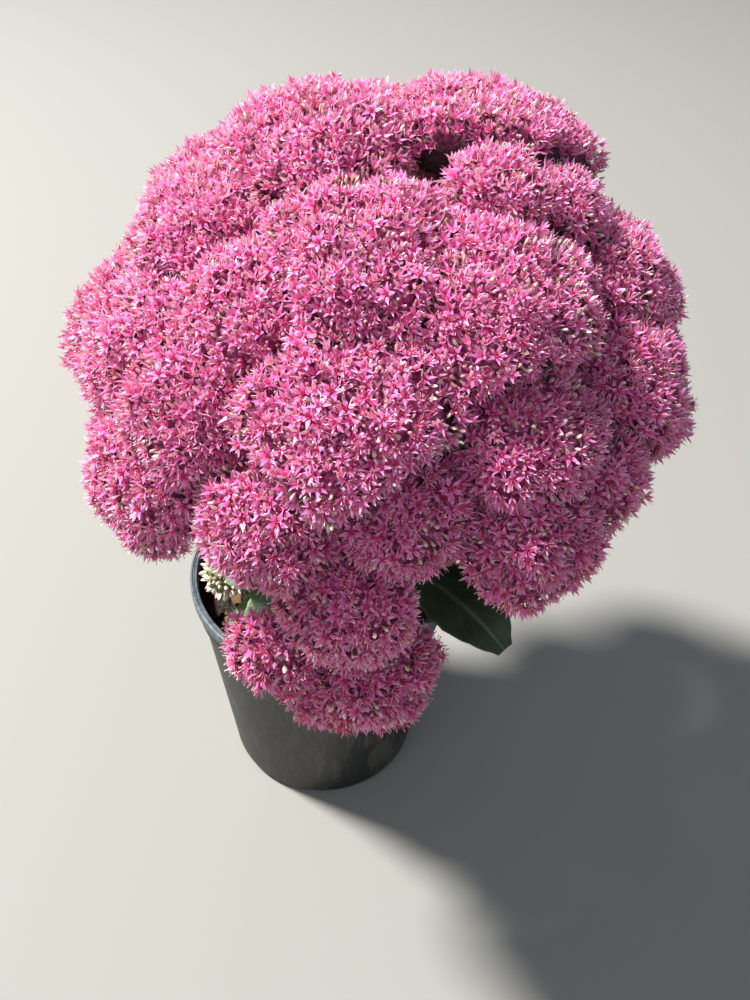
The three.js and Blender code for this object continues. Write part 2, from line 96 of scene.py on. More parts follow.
light = {
    "key": {"place": (-2.15, 0.85, 3.5), "size": 0.6, "power": 455, "colour": (1.0, 0.975, 0.94)},
    "fill": {"place": (1.2, -1.8, 2.0), "size": 2.0, "power": 5, "colour": (0.93, 0.96, 1.0)},
    "front": {"place": (-1.6, -1.7, 1.3), "size": 1.6, "power": 9, "colour": (1.0, 0.98, 0.96)},
    "aim": (0, 0, 0.28),
    "sky": (0.76, 0.85, 1.0),
    "skyStrength": 0.36,
}


def addLights():
    for name in ("key", "fill", "front"):
        row = light[name]
        data = bpy.data.lights.new(name, "AREA")
        data.shape = "DISK"
        data.size, data.energy, data.color = row["size"], row["power"], row["colour"]
        lamp = bpy.data.objects.new(name, data)
        bpy.context.collection.objects.link(lamp)
        lamp.location = row["place"]
        towards = Vector(light["aim"]) - Vector(row["place"])
        lamp.rotation_euler = towards.to_track_quat("-Z", "Y").to_euler()
    world = bpy.data.worlds.new("studio")
    world.use_nodes = True
    sky = world.node_tree.nodes["Background"]
    sky.inputs["Color"].default_value = (*light["sky"], 1)
    sky.inputs["Strength"].default_value = light["skyStrength"]
    bpy.context.scene.world = world


addCamera()
addLights()
bpy.context.scene.view_settings.view_transform = "Standard"


# Materials
def linear(colour):  # sRGB hex to the linear values that a socket takes
    parts = [((colour >> shift) & 255) / 255 for shift in (16, 8, 0)]
    return [c / 12.92 if c <= 0.04045 else ((c + 0.055) / 1.055) ** 2.4 for c in parts] + [1.0]


def setNode(node, settings, links=None):
    # settings are inputs by number or name, plain properties, or a colour ramp's stops
    for key, value in settings.items():
        if key == "stops":
            ramp = node.color_ramp.elements
            while len(ramp) < len(value):
                ramp.new(0.5)
            for stop, (position, colour) in zip(ramp, value):
                stop.position, stop.color = position, linear(colour)
        elif isinstance(key, int) or key in node.inputs:
            node.inputs[key].default_value = value
        else:
            setattr(node, key, value)
    for key, output in (links or {}).items():
        node.id_data.links.new(output, node.inputs[key])


def addNode(tree, kind, settings, links=None, output=0):  # gives back the output that is wanted
    node = tree.nodes.new("ShaderNode" + kind)
    setNode(node, settings, links)
    return node.outputs[output]


def startMaterial(name):  # the material, its shader and what adds nodes to it
    material = bpy.data.materials.new(name)
    material.use_nodes = True
    tree = material.node_tree
    return material, tree.nodes["Principled BSDF"], partial(addNode, tree)


blend = {"data_type": "RGBA"}  # such a Mix takes its factor at 0 and colours at 6 and 7, and gives output 2
multiply = {**blend, "blend_type": "MULTIPLY"}


def oneTone(name, attribute, stops, roughness):
    # the colour follows one attribute of the flower
    material, shader, add = startMaterial(name)
    value = add("Attribute", {"attribute_name": attribute}, output="Fac")
    ramp = add("ValToRGB", {"stops": stops}, {0: value})
    setNode(shader, {"Roughness": roughness}, {"Base Color": ramp})
    return material


def twoTone(name, fresh, rosy, settings):
    # two runs of colour from root to tip, and the tint says how rosy a flower is
    material, shader, add = startMaterial(name)
    along = add("Attribute", {"attribute_name": "along"}, output="Fac")
    tint = add("Attribute", {"attribute_name": "tint"}, output="Fac")
    fresh = add("ValToRGB", {"stops": fresh}, {0: along})
    rosy = add("ValToRGB", {"stops": rosy}, {0: along})
    mix = add("Mix", blend, {0: tint, 6: fresh, 7: rosy}, 2)
    setNode(shader, settings, {"Base Color": mix})
    return material


def coreMaterial():
    # the crowded inside of a head: petals, buds and green stalks one under the other, cells of about 2 mm,
    # with painted shade at the cells' edges
    material, shader, add = startMaterial("stonecrop_head_inside")
    place = add("TexCoord", {}, output="Object")
    wander = add("TexNoise", {"Scale": 700.0, "Detail": 2.0}, {0: place}, "Color")
    settings = {**blend, "blend_type": "LINEAR_LIGHT", 0: 0.0012}
    ragged = add("Mix", settings, {6: place, 7: wander}, 2)
    cells = add("TexVoronoi", {"Scale": 480.0}, {0: ragged})
    kind = add("SeparateColor", {}, {0: cells.node.outputs["Color"]})
    stops = [(0.0, 0x8E2E62), (0.3, 0xC2468A), (0.6, 0xE25EA4), (0.85, 0xF08CC4), (1.0, 0xF2D0C8)]
    ramp = add("ValToRGB", {"stops": stops}, {0: kind})
    # painted shade: each cell darkens towards its edge, as if the gaps between the crowded parts lay in
    # shade
    depth = add("ValToRGB", {"stops": [(0.1, 0xFFFFFF), (0.85, 0x8C6A7C)]}, {0: cells})
    mix = add("Mix", {**multiply, 0: 1.0}, {6: ramp, 7: depth}, 2)
    # painted shade: darker and browner down in the creases between two heads, as deep as the tint says
    tint = add("Attribute", {"attribute_name": "tint"}, output="Fac")
    low = add("Mix", {**blend, 7: linear(0x26181A)}, {0: tint, 6: mix}, 2)
    bump = add("Bump", {"Strength": 1.0, "Distance": 1.5 * mm, "invert": True}, {"Height": cells})
    setNode(shader, {"Roughness": 0.75}, {"Base Color": low, "Normal": bump})
    return material


def trussMaterial():
    # the inside of the closed cluster: short green flower stalks in each other's shade, 2 mm apart
    material, shader, add = startMaterial("stonecrop_truss_inside")
    place = add("TexCoord", {}, output="Object")
    lumps = add("TexNoise", {"Scale": 500.0, "Detail": 3.0}, {0: place})
    stops = [(0.38, 0x1E2A14), (0.55, 0x56683A), (0.68, 0x8C9A5E)]
    ramp = add("ValToRGB", {"stops": stops}, {0: lumps})
    bump = add("Bump", {"Strength": 0.8, "Distance": 1 * mm}, {"Height": lumps})
    setNode(shader, {"Roughness": 0.7}, {"Base Color": ramp, "Normal": bump})
    return material


def stemMaterial():
    # live stonecrop stem: smooth waxy green, freckled, with a brownish red flush in long patches
    material, shader, add = startMaterial("stonecrop_stem")
    place = add("TexCoord", {}, output="Object")
    stretch = add("Mapping", {"Scale": (1, 1, 0.3)}, {0: place})
    flush = add("TexNoise", {"Scale": 60.0, "Detail": 3.0}, {0: stretch})
    stops = [(0.38, 0x7F9A5C), (0.55, 0x6C8450), (0.72, 0x7A5A48)]
    ramp = add("ValToRGB", {"stops": stops}, {0: flush})
    freckles = add("TexNoise", {"Scale": 900.0, "Detail": 2.0}, {0: place})
    spots = add("ValToRGB", {"stops": [(0.6, 0xFFFFFF), (0.75, 0xB9A690)]}, {0: freckles})
    mix = add("Mix", {**multiply, 0: 1.0}, {6: ramp, 7: spots}, 2)
    bump = add("Bump", {"Strength": 0.3, "Distance": 0.3 * mm}, {"Height": flush})
    setNode(shader, {"Roughness": 0.45}, {"Base Color": mix, "Normal": bump})
    return material


def leafMaterial():
    # fleshy leaf: blue-grey wax bloom over green, rubbed off in patches, a pale midrib and faint side veins
    material, shader, add = startMaterial("stonecrop_leaf")
    place = add("TexCoord", {}, output="Object")
    across = add("Attribute", {"attribute_name": "across"}, output="Fac")
    along = add("Attribute", {"attribute_name": "along"}, output="Fac")
    tint = add("Attribute", {"attribute_name": "tint"}, output="Fac")
    patches = add("TexNoise", {"Scale": 55.0, "Detail": 5.0}, {0: place})
    stops = [(0.36, 0x4E7434), (0.5, 0x628658), (0.64, 0x869E92)]
    bloomed = add("ValToRGB", {"stops": stops}, {0: patches})
    deep = add("ValToRGB", {"stops": [(0.4, 0x36462A), (0.65, 0x465640)]}, {0: patches})
    green = add("Mix", blend, {0: tint, 6: bloomed, 7: deep}, 2)
    side = add("Math", {"operation": "ABSOLUTE"}, {0: across})
    # side veins leave the midrib at a slant, nine to a leaf
    slant = add("Math", {"operation": "MULTIPLY_ADD", 1: -0.3}, {0: side, 2: along})
    wave = add("Math", {"operation": "MULTIPLY", 1: 56.0}, {0: slant})
    crest = add("Math", {"operation": "SINE"}, {0: wave})
    vein = add("MapRange", {1: 0.8, 2: 1.0, 3: 0.0, 4: 0.08}, {0: crest})
    midrib = add("MapRange", {1: 0.1, 2: 0.03, 3: 0.0, 4: 0.36}, {0: side})
    lines = add("Math", {"operation": "MAXIMUM"}, {0: vein, 1: midrib})
    veined = add("Mix", {**blend, 7: linear(0x93A884)}, {0: lines, 6: green}, 2)
    rim = add("MapRange", {1: 0.93, 2: 1.0, 3: 0.0, 4: 0.35}, {0: side})
    edged = add("Mix", {**blend, 7: linear(0x9AA66A)}, {0: rim, 6: veined}, 2)
    rough = add("MapRange", {1: 0.35, 2: 0.65, 3: 0.36, 4: 0.6}, {0: patches})
    grain = add("TexNoise", {"Scale": 700.0, "Detail": 3.0}, {0: place})
    height = add("Math", {"operation": "MULTIPLY_ADD", 1: -1.6}, {0: lines, 2: grain})
    bump = add("Bump", {"Strength": 0.45, "Distance": 0.5 * mm}, {"Height": height})
    setNode(shader, {}, {"Base Color": edged, "Roughness": rough, "Normal": bump})
    return material


def potMaterial():
    # moulded black polypropylene that has stood outdoors: dusty, streaked by rain, scuffed on its edges,
    # its lip paler with painted sky reflection
    material, shader, add = startMaterial("pot_polypropylene")
    place = add("TexCoord", {}, output="Object")
    upright = add("Mapping", {"Location": (-potAxis, 0, 0), "Scale": (1, 1, 0.07)}, {0: place})
    streaks = add("TexNoise", {"Scale": 210.0, "Detail": 6.0, "Roughness": 0.65}, {0: upright})
    dust = add("TexNoise", {"Scale": 22.0, "Detail": 8.0, "Roughness": 0.6}, {0: place})
    both = add("Math", {"operation": "MULTIPLY"}, {0: streaks, 1: dust})
    stops = [(0.18, 0x131414), (0.25, 0x1C1D1D), (0.33, 0x48463F)]
    wall = add("ValToRGB", {"stops": stops}, {0: both})
    # the lip is paler above z 157 mm: more dust, and painted sky reflection on its top
    height = add("SeparateXYZ", {}, {0: place}, "Z")
    lip = add("MapRange", {1: 156 * mm, 2: 158 * mm, 3: 0.0, 4: 0.55}, {0: height})
    mottle = add("TexNoise", {"Scale": 300.0, "Detail": 5.0}, {0: place})
    pale = add("ValToRGB", {"stops": [(0.35, 0x55606A), (0.6, 0x7E8A92)]}, {0: mottle})
    mix = add("Mix", blend, {0: lip, 6: wall, 7: pale}, 2)
    rough = add("MapRange", {1: 0.15, 2: 0.36, 3: 0.34, 4: 0.7}, {0: both})
    # moulded grain about 0.6 mm across
    grain = add("TexNoise", {"Scale": 1600.0, "Detail": 2.0}, {0: place})
    bump = add("Bump", {"Strength": 0.12, "Distance": 0.3 * mm}, {"Height": grain})
    setNode(shader, {}, {"Base Color": mix, "Roughness": rough, "Normal": bump})
    return material


def soilMaterial():
    # peat and composted bark: dark crumbs of 2 to 5 mm, with paler fibres
    material, shader, add = startMaterial("potting_soil")
    place = add("TexCoord", {}, output="Object")
    crumbs = add("TexVoronoi", {"Scale": 330.0}, {0: place})
    fine = add("TexNoise", {"Scale": 800.0, "Detail": 4.0}, {0: place})
    stops = [(0.3, 0x1F1711), (0.5, 0x3A2A1E), (0.68, 0x6B5038), (0.78, 0x9A8264)]
    ramp = add("ValToRGB", {"stops": stops}, {0: fine})
    mix = add("Mix", {**multiply, 0: 0.7}, {6: ramp, 7: crumbs.node.outputs["Color"]}, 2)
    bump = add("Bump", {"Strength": 0.9, "Distance": 1.2 * mm}, {"Height": crumbs})
    setNode(shader, {"Roughness": 0.95}, {"Base Color": mix, "Normal": bump})
    return material


def barkMaterial():
    # chips of composted pine bark: brown and fibrous, some bleached
    material, shader, add = startMaterial("pine_bark_chip")
    place = add("TexCoord", {}, output="Object")
    tint = add("Attribute", {"attribute_name": "tint"}, output="Fac")
    stretch = add("Mapping", {"Scale": (1, 4, 1)}, {0: place})
    fibre = add("TexNoise", {"Scale": 400.0, "Detail": 5.0}, {0: stretch})
    stops = [(0.0, 0x2E2018), (0.5, 0x5A4030), (0.8, 0x8A6A4C), (1.0, 0xB8A084)]
    ramp = add("ValToRGB", {"stops": stops}, {0: tint})
    grain = add("ValToRGB", {"stops": [(0.35, 0x6A6058), (0.65, 0xFFFFFF)]}, {0: fibre})
    mix = add("Mix", {**multiply, 0: 0.8}, {6: ramp, 7: grain}, 2)
    bump = add("Bump", {"Strength": 0.6, "Distance": 0.6 * mm}, {"Height": fibre})
    setNode(shader, {"Roughness": 0.9}, {"Base Color": mix, "Normal": bump})
    return material


# thin live petal: satin, rose at its root and paler to its tip, with some stars rosier than others; the
# rosier run is also darker, partly painted shade for the low heads
petalSkin = twoTone(
    "stonecrop_petal",
    [(0.08, 0xE03A80), (0.4, 0xEA5CAA), (0.75, 0xF488C8), (1.0, 0xFABCE2)],
    [(0.08, 0xBA2262), (0.5, 0xC23482), (1.0, 0xD468AA)],
    {"Roughness": 0.48, "Sheen Weight": 0.25, "Subsurface Weight": 0.3, "Subsurface Scale": 1.2 * mm},
)
# closed fleshy buds: greenish cream at the foot, turning pink towards the tip
budSkin = twoTone(
    "stonecrop_bud",
    [(0.0, 0x84904E), (0.25, 0xBCC488), (0.5, 0xECE4C4), (0.8, 0xF4D6CC), (1.0, 0xE88CB0)],
    [(0.0, 0xB0607C), (0.25, 0xD888A8), (0.55, 0xF0B0CA), (1.0, 0xE068A8)],
    {"Roughness": 0.42},
)
# waxy upright carpels at a star's middle: rose red, paler towards their points
stops = [(0.0, 0xA8346A), (0.45, 0xE05488), (0.9, 0xF29CBC)]
carpelSkin = oneTone("stonecrop_carpel", "along", stops, 0.4)
# dusty anthers: pinkish cream specks over the stars
antherSkin = oneTone("stonecrop_anther", "tint", [(0.0, 0xF6E3DA), (1.0, 0xD9A3A8)], 0.8)
# short stalk of a single flower: pale green, flushed pink in the rosier ones
stops = [(0.0, 0x8E9A64), (0.5, 0xA8806E), (1.0, 0xA25A74)]
flowerStalkSkin = oneTone("stonecrop_flower_stalk", "tint", stops, 0.5)
coreSkin, trussSkin, stemSkin, leafSkin = coreMaterial(), trussMaterial(), stemMaterial(), leafMaterial()
potPlastic, soilCrumb, barkChip = potMaterial(), soilMaterial(), barkMaterial()
print("materials made")


# Working by hand, in code
def startPiece(name, materials):
    # an empty mesh at the origin, open in edit mode, with nothing else selected
    bpy.ops.object.select_all(action="DESELECT")
    piece = bpy.data.objects.new(name, bpy.data.meshes.new(name))
    bpy.context.collection.objects.link(piece)
    bpy.context.view_layer.objects.active = piece
    piece.select_set(True)
    for material in materials:
        piece.data.materials.append(material)
    bpy.ops.object.mode_set(mode="EDIT")
    return piece


def paint(piece, slot):  # the selected faces take the slot's material
    piece.active_material_index = slot
    bpy.ops.object.material_slot_assign()


def extrudeThrough(rings):
    # the selected outline goes from ring to ring, each a centre and a size
    (centre, size), rest = rings[0], rings[1:]
    for nextCentre, nextSize in rest:
        move = Vector(nextCentre) - Vector(centre)
        bpy.ops.mesh.extrude_region_move(TRANSFORM_OT_translate={"value": move})
        ratio = [b / a for a, b in zip(size, nextSize)]
        bpy.ops.transform.resize(value=ratio, center_override=nextCentre)
        centre, size = nextCentre, nextSize


def spinFive():  # five of the selected part, all round the z axis
    bpy.ops.mesh.spin(steps=4, dupli=True, angle=2 * math.pi * 4 / 5, center=(0, 0, 0), axis=(0, 0, 1))


def closePiece(piece, smooth=40):
    bpy.ops.mesh.select_all(action="SELECT")
    bpy.ops.mesh.normals_make_consistent(inside=False)
    bpy.ops.object.mode_set(mode="OBJECT")
    bpy.ops.object.shade_smooth_by_angle(angle=math.radians(smooth))
    return piece


def putAside(piece):  # a pattern to copy from, kept out of the scene
    bpy.context.collection.objects.unlink(piece)
    return piece


def points(mesh):
    flat = np.empty(3 * len(mesh.vertices))
    mesh.vertices.foreach_get("co", flat)
    return flat.reshape(-1, 3)


def selectPoints(isWanted):  # in edit mode, by the place of each point
    bpy.ops.mesh.select_mode(type="VERT")
    bpy.ops.mesh.select_all(action="DESELECT")
    bpy.ops.object.mode_set(mode="OBJECT")
    mesh = bpy.context.object.data
    for vertex in mesh.vertices:
        vertex.select = isWanted(vertex.co)
    bpy.ops.object.mode_set(mode="EDIT")


def setPoints(mesh, places):
    mesh.vertices.foreach_set("co", np.asarray(places, float).ravel())
    mesh.update()


def setAttribute(mesh, name, values):
    layer = mesh.attributes.get(name) or mesh.attributes.new(name, "FLOAT", "POINT")
    layer.data.foreach_set("value", np.broadcast_to(values, len(mesh.vertices)).astype(np.float32))


def copyOf(pattern, tint=0.0):
    piece = pattern.copy()
    piece.data = pattern.data.copy()
    bpy.context.collection.objects.link(piece)
    setAttribute(piece.data, "tint", tint)
    return piece


def joined(pieces, name):  # all pieces become one
    first = pieces[0]
    spare = [piece.data for piece in pieces[1:]]
    override = {"active_object": first, "object": first, "selected_editable_objects": pieces}
    with bpy.context.temp_override(**override, selected_objects=pieces):
        bpy.ops.object.join()
    bpy.data.batch_remove(spare)  # a join leaves the other meshes behind, and they slow the next one
    first.name = first.data.name = name
    return first


def settle(piece, nodes):
    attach(piece, "root")
    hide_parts(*nodes)


# Star florets and buds, made once
star = {
    # a petal's root, widest place and tip, out and up from the eye, in three stages of opening
    "open": {"root": (0.5, 0.3), "wide": (2.7, 1.4), "tip": (6.5, 2.1)},
    "raised": {"root": (0.5, 0.3), "wide": (1.9, 1.8), "tip": (5.0, 5.2)},
    "closing": {"root": (0.5, 0.3), "wide": (1.2, 2.2), "tip": (2.6, 6.4)},
    "petalWidth": 1.0,
    # what stands in the eye, in fives where it stands out from the middle, and its material's slot; turn is
    # a share of the angle between two petals, and a cone stands for carpels that are still closed
    "carpel": {"radius": 0.62, "height": 3.6, "out": 0.75, "lean": 14, "foot": 0.6, "turn": 0.5, "slot": 1},
    "cone": {"radius": 1.15, "height": 4.2, "out": 0, "lean": 0, "foot": 0.6, "turn": 0.5, "slot": 1},
    "stamen": {"radius": 0.3, "height": 4.6, "out": 1.3, "lean": 34, "foot": 0.6, "turn": 0.25, "slot": 2},
    "stalk": {"radius": 0.62, "height": 9.5, "out": 0, "lean": 0, "foot": -8.9, "turn": 0.25, "slot": 3},
    "reach": 6.3,  # from the eye to where the petals are palest
}
bud = {
    # height and radius up a bud, from the foot of its stalk to its tip
    "rings": [(-3.6, 0), (1.2, 1.0), (3.4, 1.05), (4.9, 0)],
    "sides": 4,
}


def drawToPoint(centre, point):  # the selected face is drawn out to a point
    bpy.ops.mesh.extrude_region_move(TRANSFORM_OT_translate={"value": Vector(point) - Vector(centre)})
    bpy.ops.mesh.merge(type="CENTER")


def addPetal(petal):
    # a triangle from the root to the widest place, drawn out to the tip, so that the petal has a keel below
    root, wide, tip = (Vector((x, 0, z)) * mm for x, z in (petal["root"], petal["wide"], petal["tip"]))
    middle = root.lerp(wide, 2 / 3)
    height = (wide - root).length
    slope = math.atan2(wide.z - root.z, wide.x - root.x)
    bpy.ops.mesh.primitive_circle_add(
        vertices=3,
        radius=height / 1.5,  # an even triangle's corners are two thirds of its height from its middle
        location=middle,
        rotation=(-slope, 0, math.pi / 2),
        scale=(star["petalWidth"] * mm / height * math.sqrt(3) / 2, 1, 1),
        fill_type="NGON",
    )
    drawToPoint(middle, tip)


def addCone(row, upsideDown):  # a three-sided cone that leans out from the eye
    lean = math.radians(row["lean"])
    around = row["turn"] * 2 * math.pi / 5
    out = (row["out"] + math.sin(lean) * row["height"] / 2) * mm
    middle = (row["foot"] + math.cos(lean) * row["height"] / 2) * mm
    bpy.ops.mesh.select_all(action="DESELECT")
    bpy.ops.mesh.primitive_cone_add(
        vertices=3,
        radius1=0 if upsideDown else row["radius"] * mm,
        radius2=row["radius"] * mm if upsideDown else 0,
        depth=row["height"] * mm,
        location=(out * math.cos(around), out * math.sin(around), middle),
        rotation=(0, lean, around),
    )


def makeStar(name, petal, parts):
    piece = startPiece(name, [petalSkin, carpelSkin, antherSkin, flowerStalkSkin])
    addPetal(petal)
    bpy.ops.mesh.select_all(action="SELECT")
    paint(piece, 0)
    spinFive()
    for part in parts:
        row = star[part]
        addCone(row, upsideDown=part in ("stamen", "stalk"))
        paint(piece, row["slot"])
        if row["out"]:
            spinFive()
    closePiece(piece)
    out = np.linalg.norm(points(piece.data), axis=1) / (star["reach"] * mm)
    setAttribute(piece.data, "along", np.clip(out, 0, 1))
    return putAside(piece)


def makeBud():
    piece = startPiece("bud", [budSkin])
    (foot, _), (low, radius), (high, highRadius), (tip, _) = bud["rings"]
    below, above = (0, 0, low * mm), (0, 0, high * mm)
    bpy.ops.mesh.primitive_circle_add(
        vertices=bud["sides"], radius=radius * mm, location=below, fill_type="NGON"
    )
    extrudeThrough([(below, (radius, radius, 1)), (above, (highRadius, highRadius, 1))])
    drawToPoint(above, (0, 0, tip * mm))
    selectPoints(lambda place: place.z < (low + 0.1) * mm)
    drawToPoint(below, (0, 0, foot * mm))
    closePiece(piece)
    setAttribute(piece.data, "along", np.clip(points(piece.data)[:, 2] / (tip * mm), 0, 1))
    return putAside(piece)


openStar = makeStar("openStar", star["open"], ["carpel", "stamen", "stalk"])
raisedStar = makeStar("raisedStar", star["raised"], ["cone"])
closingStar = makeStar("closingStar", star["closing"], [])
closedBud = makeBud()
print("stars and buds drawn")


# Flower heads
dome = {"middle": (0, 0, 305), "radius": 163, "height": 152, "upwardLean": 0.3}

# each stem's heads, as in the solids: name, bearing, rise, radius, height, stand out
stems = {
    "top": [("top_back", 12, 70, 62, 38, 11), ("top_left", 180, 77, 55, 34, 9)],
    "crown": [("crown", -104, 62, 54, 36, 4), ("inner_left", -130, 48, 40, 28, 0)],
    "left": [("left_upper", -167, 55, 46, 31, 1), ("left", -153, 35, 47, 33, 1)],
    "left_low": [("left_mid", -135, 31, 42, 31, 2), ("left_low", -142, 14, 48, 35, 1)],
    "front": [("front", -100, 35, 63, 45, 7), ("front_low", -113, 15, 38, 29, 1)],
    "right": [
        ("right", -64, 52, 59, 42, 5),
        ("small_top", -38, 68, 28, 21, 5),
        ("small_right", -19, 59, 27, 20, 3),
    ],
    "right_side": [("right_back", -13, 42, 48, 35, 1), ("right_edge", -34, 27, 45, 32, 2)],
    "right_low": [("right_low", -64, 29, 41, 32, 2), ("small_low", -49, 15, 29, 23, 1)],
    "round": [("round", -65, 11, 41, 33, 5), ("shade", -89, 19, 36, 27, -6)],
    "hanging": [
        ("hanging", -98, -27, 46, 42, 22),
        ("hanging_upper", -99, -4, 36, 28, 3),
        ("hanging_side", -112, -18, 27, 22, 14),
    ],
    "back": [("back", 92, 58, 55, 36, 1), ("back_right", 42, 42, 55, 37, 1)],
    "back_left": [("back_left", 141, 45, 55, 37, 1), ("far_left", 173, 20, 50, 36, 0)],
    "back_low": [("back_low", 118, 16, 53, 37, 0), ("back_side", 80, 15, 53, 37, 0)],
    "back_corner": [("back_corner", 43, 12, 53, 37, 0), ("right_end", 5, 12, 50, 36, 0)],
}

head = {
    "rise": 5.5,  # the florets' height over the surface that carries them
    "gap": 0.6,  # between two heads pressed together
    "pressed": 4.0,  # more gap for the flowers' places
    "deepest": 8.5,  # no floret further down in a crease
    "shade": 8,  # crease depth where the painted shade of the inside is darkest
    "slopeStep": 0.07,  # how far to each side the slope is felt
    "lobeSpacing": 38,
    "lobeCap": 0.75,
    "lobeSpread": 0.92,
    "lobeEdge": 0.9,
    "crease": 1.1,
    "underside": 5,
    "coreRise": 1.7,  # of the crowded inside, over the flowers' places
    "coreUnder": 3,
    "coreGap": 2.0,
    "coreLeast": 1.5,
    "lump": 1.2,
    "lumpLength": 5,
    "tries": 14000,
    "lowest": 100,  # degrees off the axis, of the last florets round the rim
    "openShare": (0.62, 0.78),
    "starSize": (0.9, 1.12),
    "budSize": (0.75, 1.05),
    "flush": 0.25,  # how much rosier a whole head can be
    "rosySpread": 0.2,
    "patch": 15,  # buds stand in patches of this size, more there and fewer elsewhere
    "patchiness": 0.5,
    "budShare": 0.75,  # of the range of heights, taken by the buds
    "tilt": 32,
    "budTilt": 20,
    "tuft": 14,  # florets stand in small domed tufts, this far apart
    "tuftLowest": 95,
    "tuftLean": 0.5,
    "tuftDrop": 1.8,
}

# low heads have been open the longest: each pair is for the lowest heads and for the highest
bloom = {
    "height": (230, 400),
    "size": (0.98, 0.72),
    "spacing": (3.15, 2.6),
    "flat": (0.66, 0.26),  # shares of the open flowers that lie flat, and flat or raised
    "raised": (0.92, 0.8),
    "lift": (0.8, 1.6),  # of the lowest flowers' feet over their places
    "liftRange": (4.2, 4.0),
    # the low heads are rosier and darker: partly their older flowers' colour, partly painted shade under
    # the crown
    "rosiness": (0.62, 0.16),
}


def bloomOf(row):
    low, high = bloom["height"]
    share = min(1, max(0, (row["centre"][2] / mm - low) / (high - low)))
    return {key: (1 - share) * pair[0] + share * pair[1] for key, pair in bloom.items()}


def headAt(name, seed, tip, axis, radius, height):
    across = unit(np.cross((0, 1, 0), axis))
    row = {"name": name, "seed": seed, "radius": radius * mm, "height": height * mm, "axis": axis}
    row["across"], row["along"] = across, np.cross(axis, across)
    row["centre"] = tip - axis * height * mm
    count = max(1, round(2 * math.pi * radius**2 * head["lobeCap"] / head["lobeSpacing"] ** 2))
    i = np.arange(count)
    off = np.arccos(1 - head["lobeSpread"] * (i + 0.5) / count)  # middles evenly over the cap
    row["lobes"] = direction(row, off, i * goldenAngle + 2 * math.pi * chance(seed))
    return row


def domeHead(row, seed):
    name, bearing, rise, radius, height, standOut = row
    b, e = math.radians(bearing), math.radians(rise)
    onDome = np.array([math.cos(e) * math.cos(b), math.cos(e) * math.sin(b), math.sin(e)])
    size = np.array([dome["radius"], dome["radius"], dome["height"]]) * mm
    normal = unit(onDome / size)
    tip = onDome * size + np.array(dome["middle"]) * mm + normal * standOut * mm
    return headAt(name, seed, tip, unit(normal + up * dome["upwardLean"]), radius, height)


def direction(row, off, turn):  # in a head's own frame, from the angle off its axis and the turn round it
    off, turn = np.broadcast_arrays(np.asarray(off, float), np.asarray(turn, float))
    side = np.sin(off)[..., None] * (
        np.cos(turn)[..., None] * row["across"] + np.sin(turn)[..., None] * row["along"]
    )
    return np.cos(off)[..., None] * row["axis"] + side


def freeReach(row, ways, underside=head["underside"]):
    # how far the lobed top or the flat underside is from the centre
    c = ways @ row["axis"]
    across = row["radius"] - head["rise"] * mm
    tall = np.where(c > 0, row["height"] - head["rise"] * mm, underside * mm)
    plain = 1 / np.sqrt(np.maximum(0, 1 - c * c) / across**2 + c * c / tall**2)
    nearest = (ways @ row["lobes"].T).max(axis=1)
    return plain * (1 - head["crease"] * (1 - np.maximum(nearest, head["lobeEdge"])))


def limit(row, ways):  # neighbours press flat against each other on a plane between their centres
    most = np.full(len(ways), np.inf)
    for other in heads:
        if other is row:
            continue
        away = other["centre"] - row["centre"]
        far = np.linalg.norm(away)
        towards = ways @ away / far
        share = far * row["radius"] / (row["radius"] + other["radius"]) - head["gap"] * mm / 2
        ahead = towards > 0
        most[ahead] = np.minimum(most[ahead], share / towards[ahead])
    return most


def reach(row, ways):
    return np.minimum(freeReach(row, ways), limit(row, ways) - head["pressed"] * mm)


def facing(row, ways):  # which way the open surface looks there, from its slope
    side = unit(np.cross(ways, row["across"])) * head["slopeStep"]
    front = np.cross(side, ways)

    def across(step):
        there, back = unit(ways + step), unit(ways - step)
        return there * freeReach(row, there)[:, None] - back * freeReach(row, back)[:, None]

    return unit(np.cross(across(front), across(side)))


def flowerPlaces(row, spacing, lowest):  # places at least a spacing apart, tried from the top down
    tries = head["tries"]
    i = np.arange(tries)
    most = 1 - math.cos(math.radians(lowest))
    ways = direction(row, np.arccos(1 - most * (i + 0.5) / tries), i * goldenAngle)
    far = reach(row, ways)
    ways = ways[freeReach(row, ways) - far < head["deepest"] * mm]
    places = ways * reach(row, ways)[:, None]
    chosen = [0]
    kept = np.repeat(places[:1], len(places), axis=0)
    for n, place in enumerate(places):
        apart = kept[: len(chosen)] - place
        if np.einsum("ij,ij->i", apart, apart).min() > (spacing * mm) ** 2:
            kept[len(chosen)] = place
            chosen.append(n)
    return kept[: len(chosen)], facing(row, ways[chosen])


def inTufts(row, places, normals):  # sunk and leaning outwards round the tufts' middles
    middles, _ = flowerPlaces(row, head["tuft"], head["tuftLowest"])
    apart = places[:, None] - middles[None]
    nearest = np.linalg.norm(apart, axis=2).argmin(axis=1)
    out = apart[np.arange(len(places)), nearest] / (head["tuft"] / 2 * mm)
    out -= normals * (out * normals).sum(axis=1, keepdims=True)
    drop = head["tuftDrop"] * mm * (out**2).sum(axis=1, keepdims=True)
    return places - normals * drop, unit(normals + out * head["tuftLean"])


def chooseOpen(row, places):  # which flowers are open, by patches
    opened = np.zeros(len(places), bool)
    share = between(head["openShare"], chance(row["seed"] + 40))
    for n, place in enumerate(places):
        patch = noise.noise(Vector(row["centre"] + place) / (head["patch"] * mm))
        opened[n] = draw.random() < share + head["patchiness"] * patch
    return opened


def standOn(place, normal, size, tilt):
    # a floret's own z turned to the normal, tilted a little and spun at random
    lean = Vector([draw.gauss(0, math.radians(tilt) / 2) for _ in range(3)])
    axis = (Vector(normal) + lean).normalized()
    turn = axis.to_track_quat("Z", "Y").to_matrix() @ Matrix.Rotation(draw.uniform(0, wholeTurn), 3, "Z")
    return Matrix.Translation(place) @ turn.to_4x4() @ Matrix.Scale(size, 4)


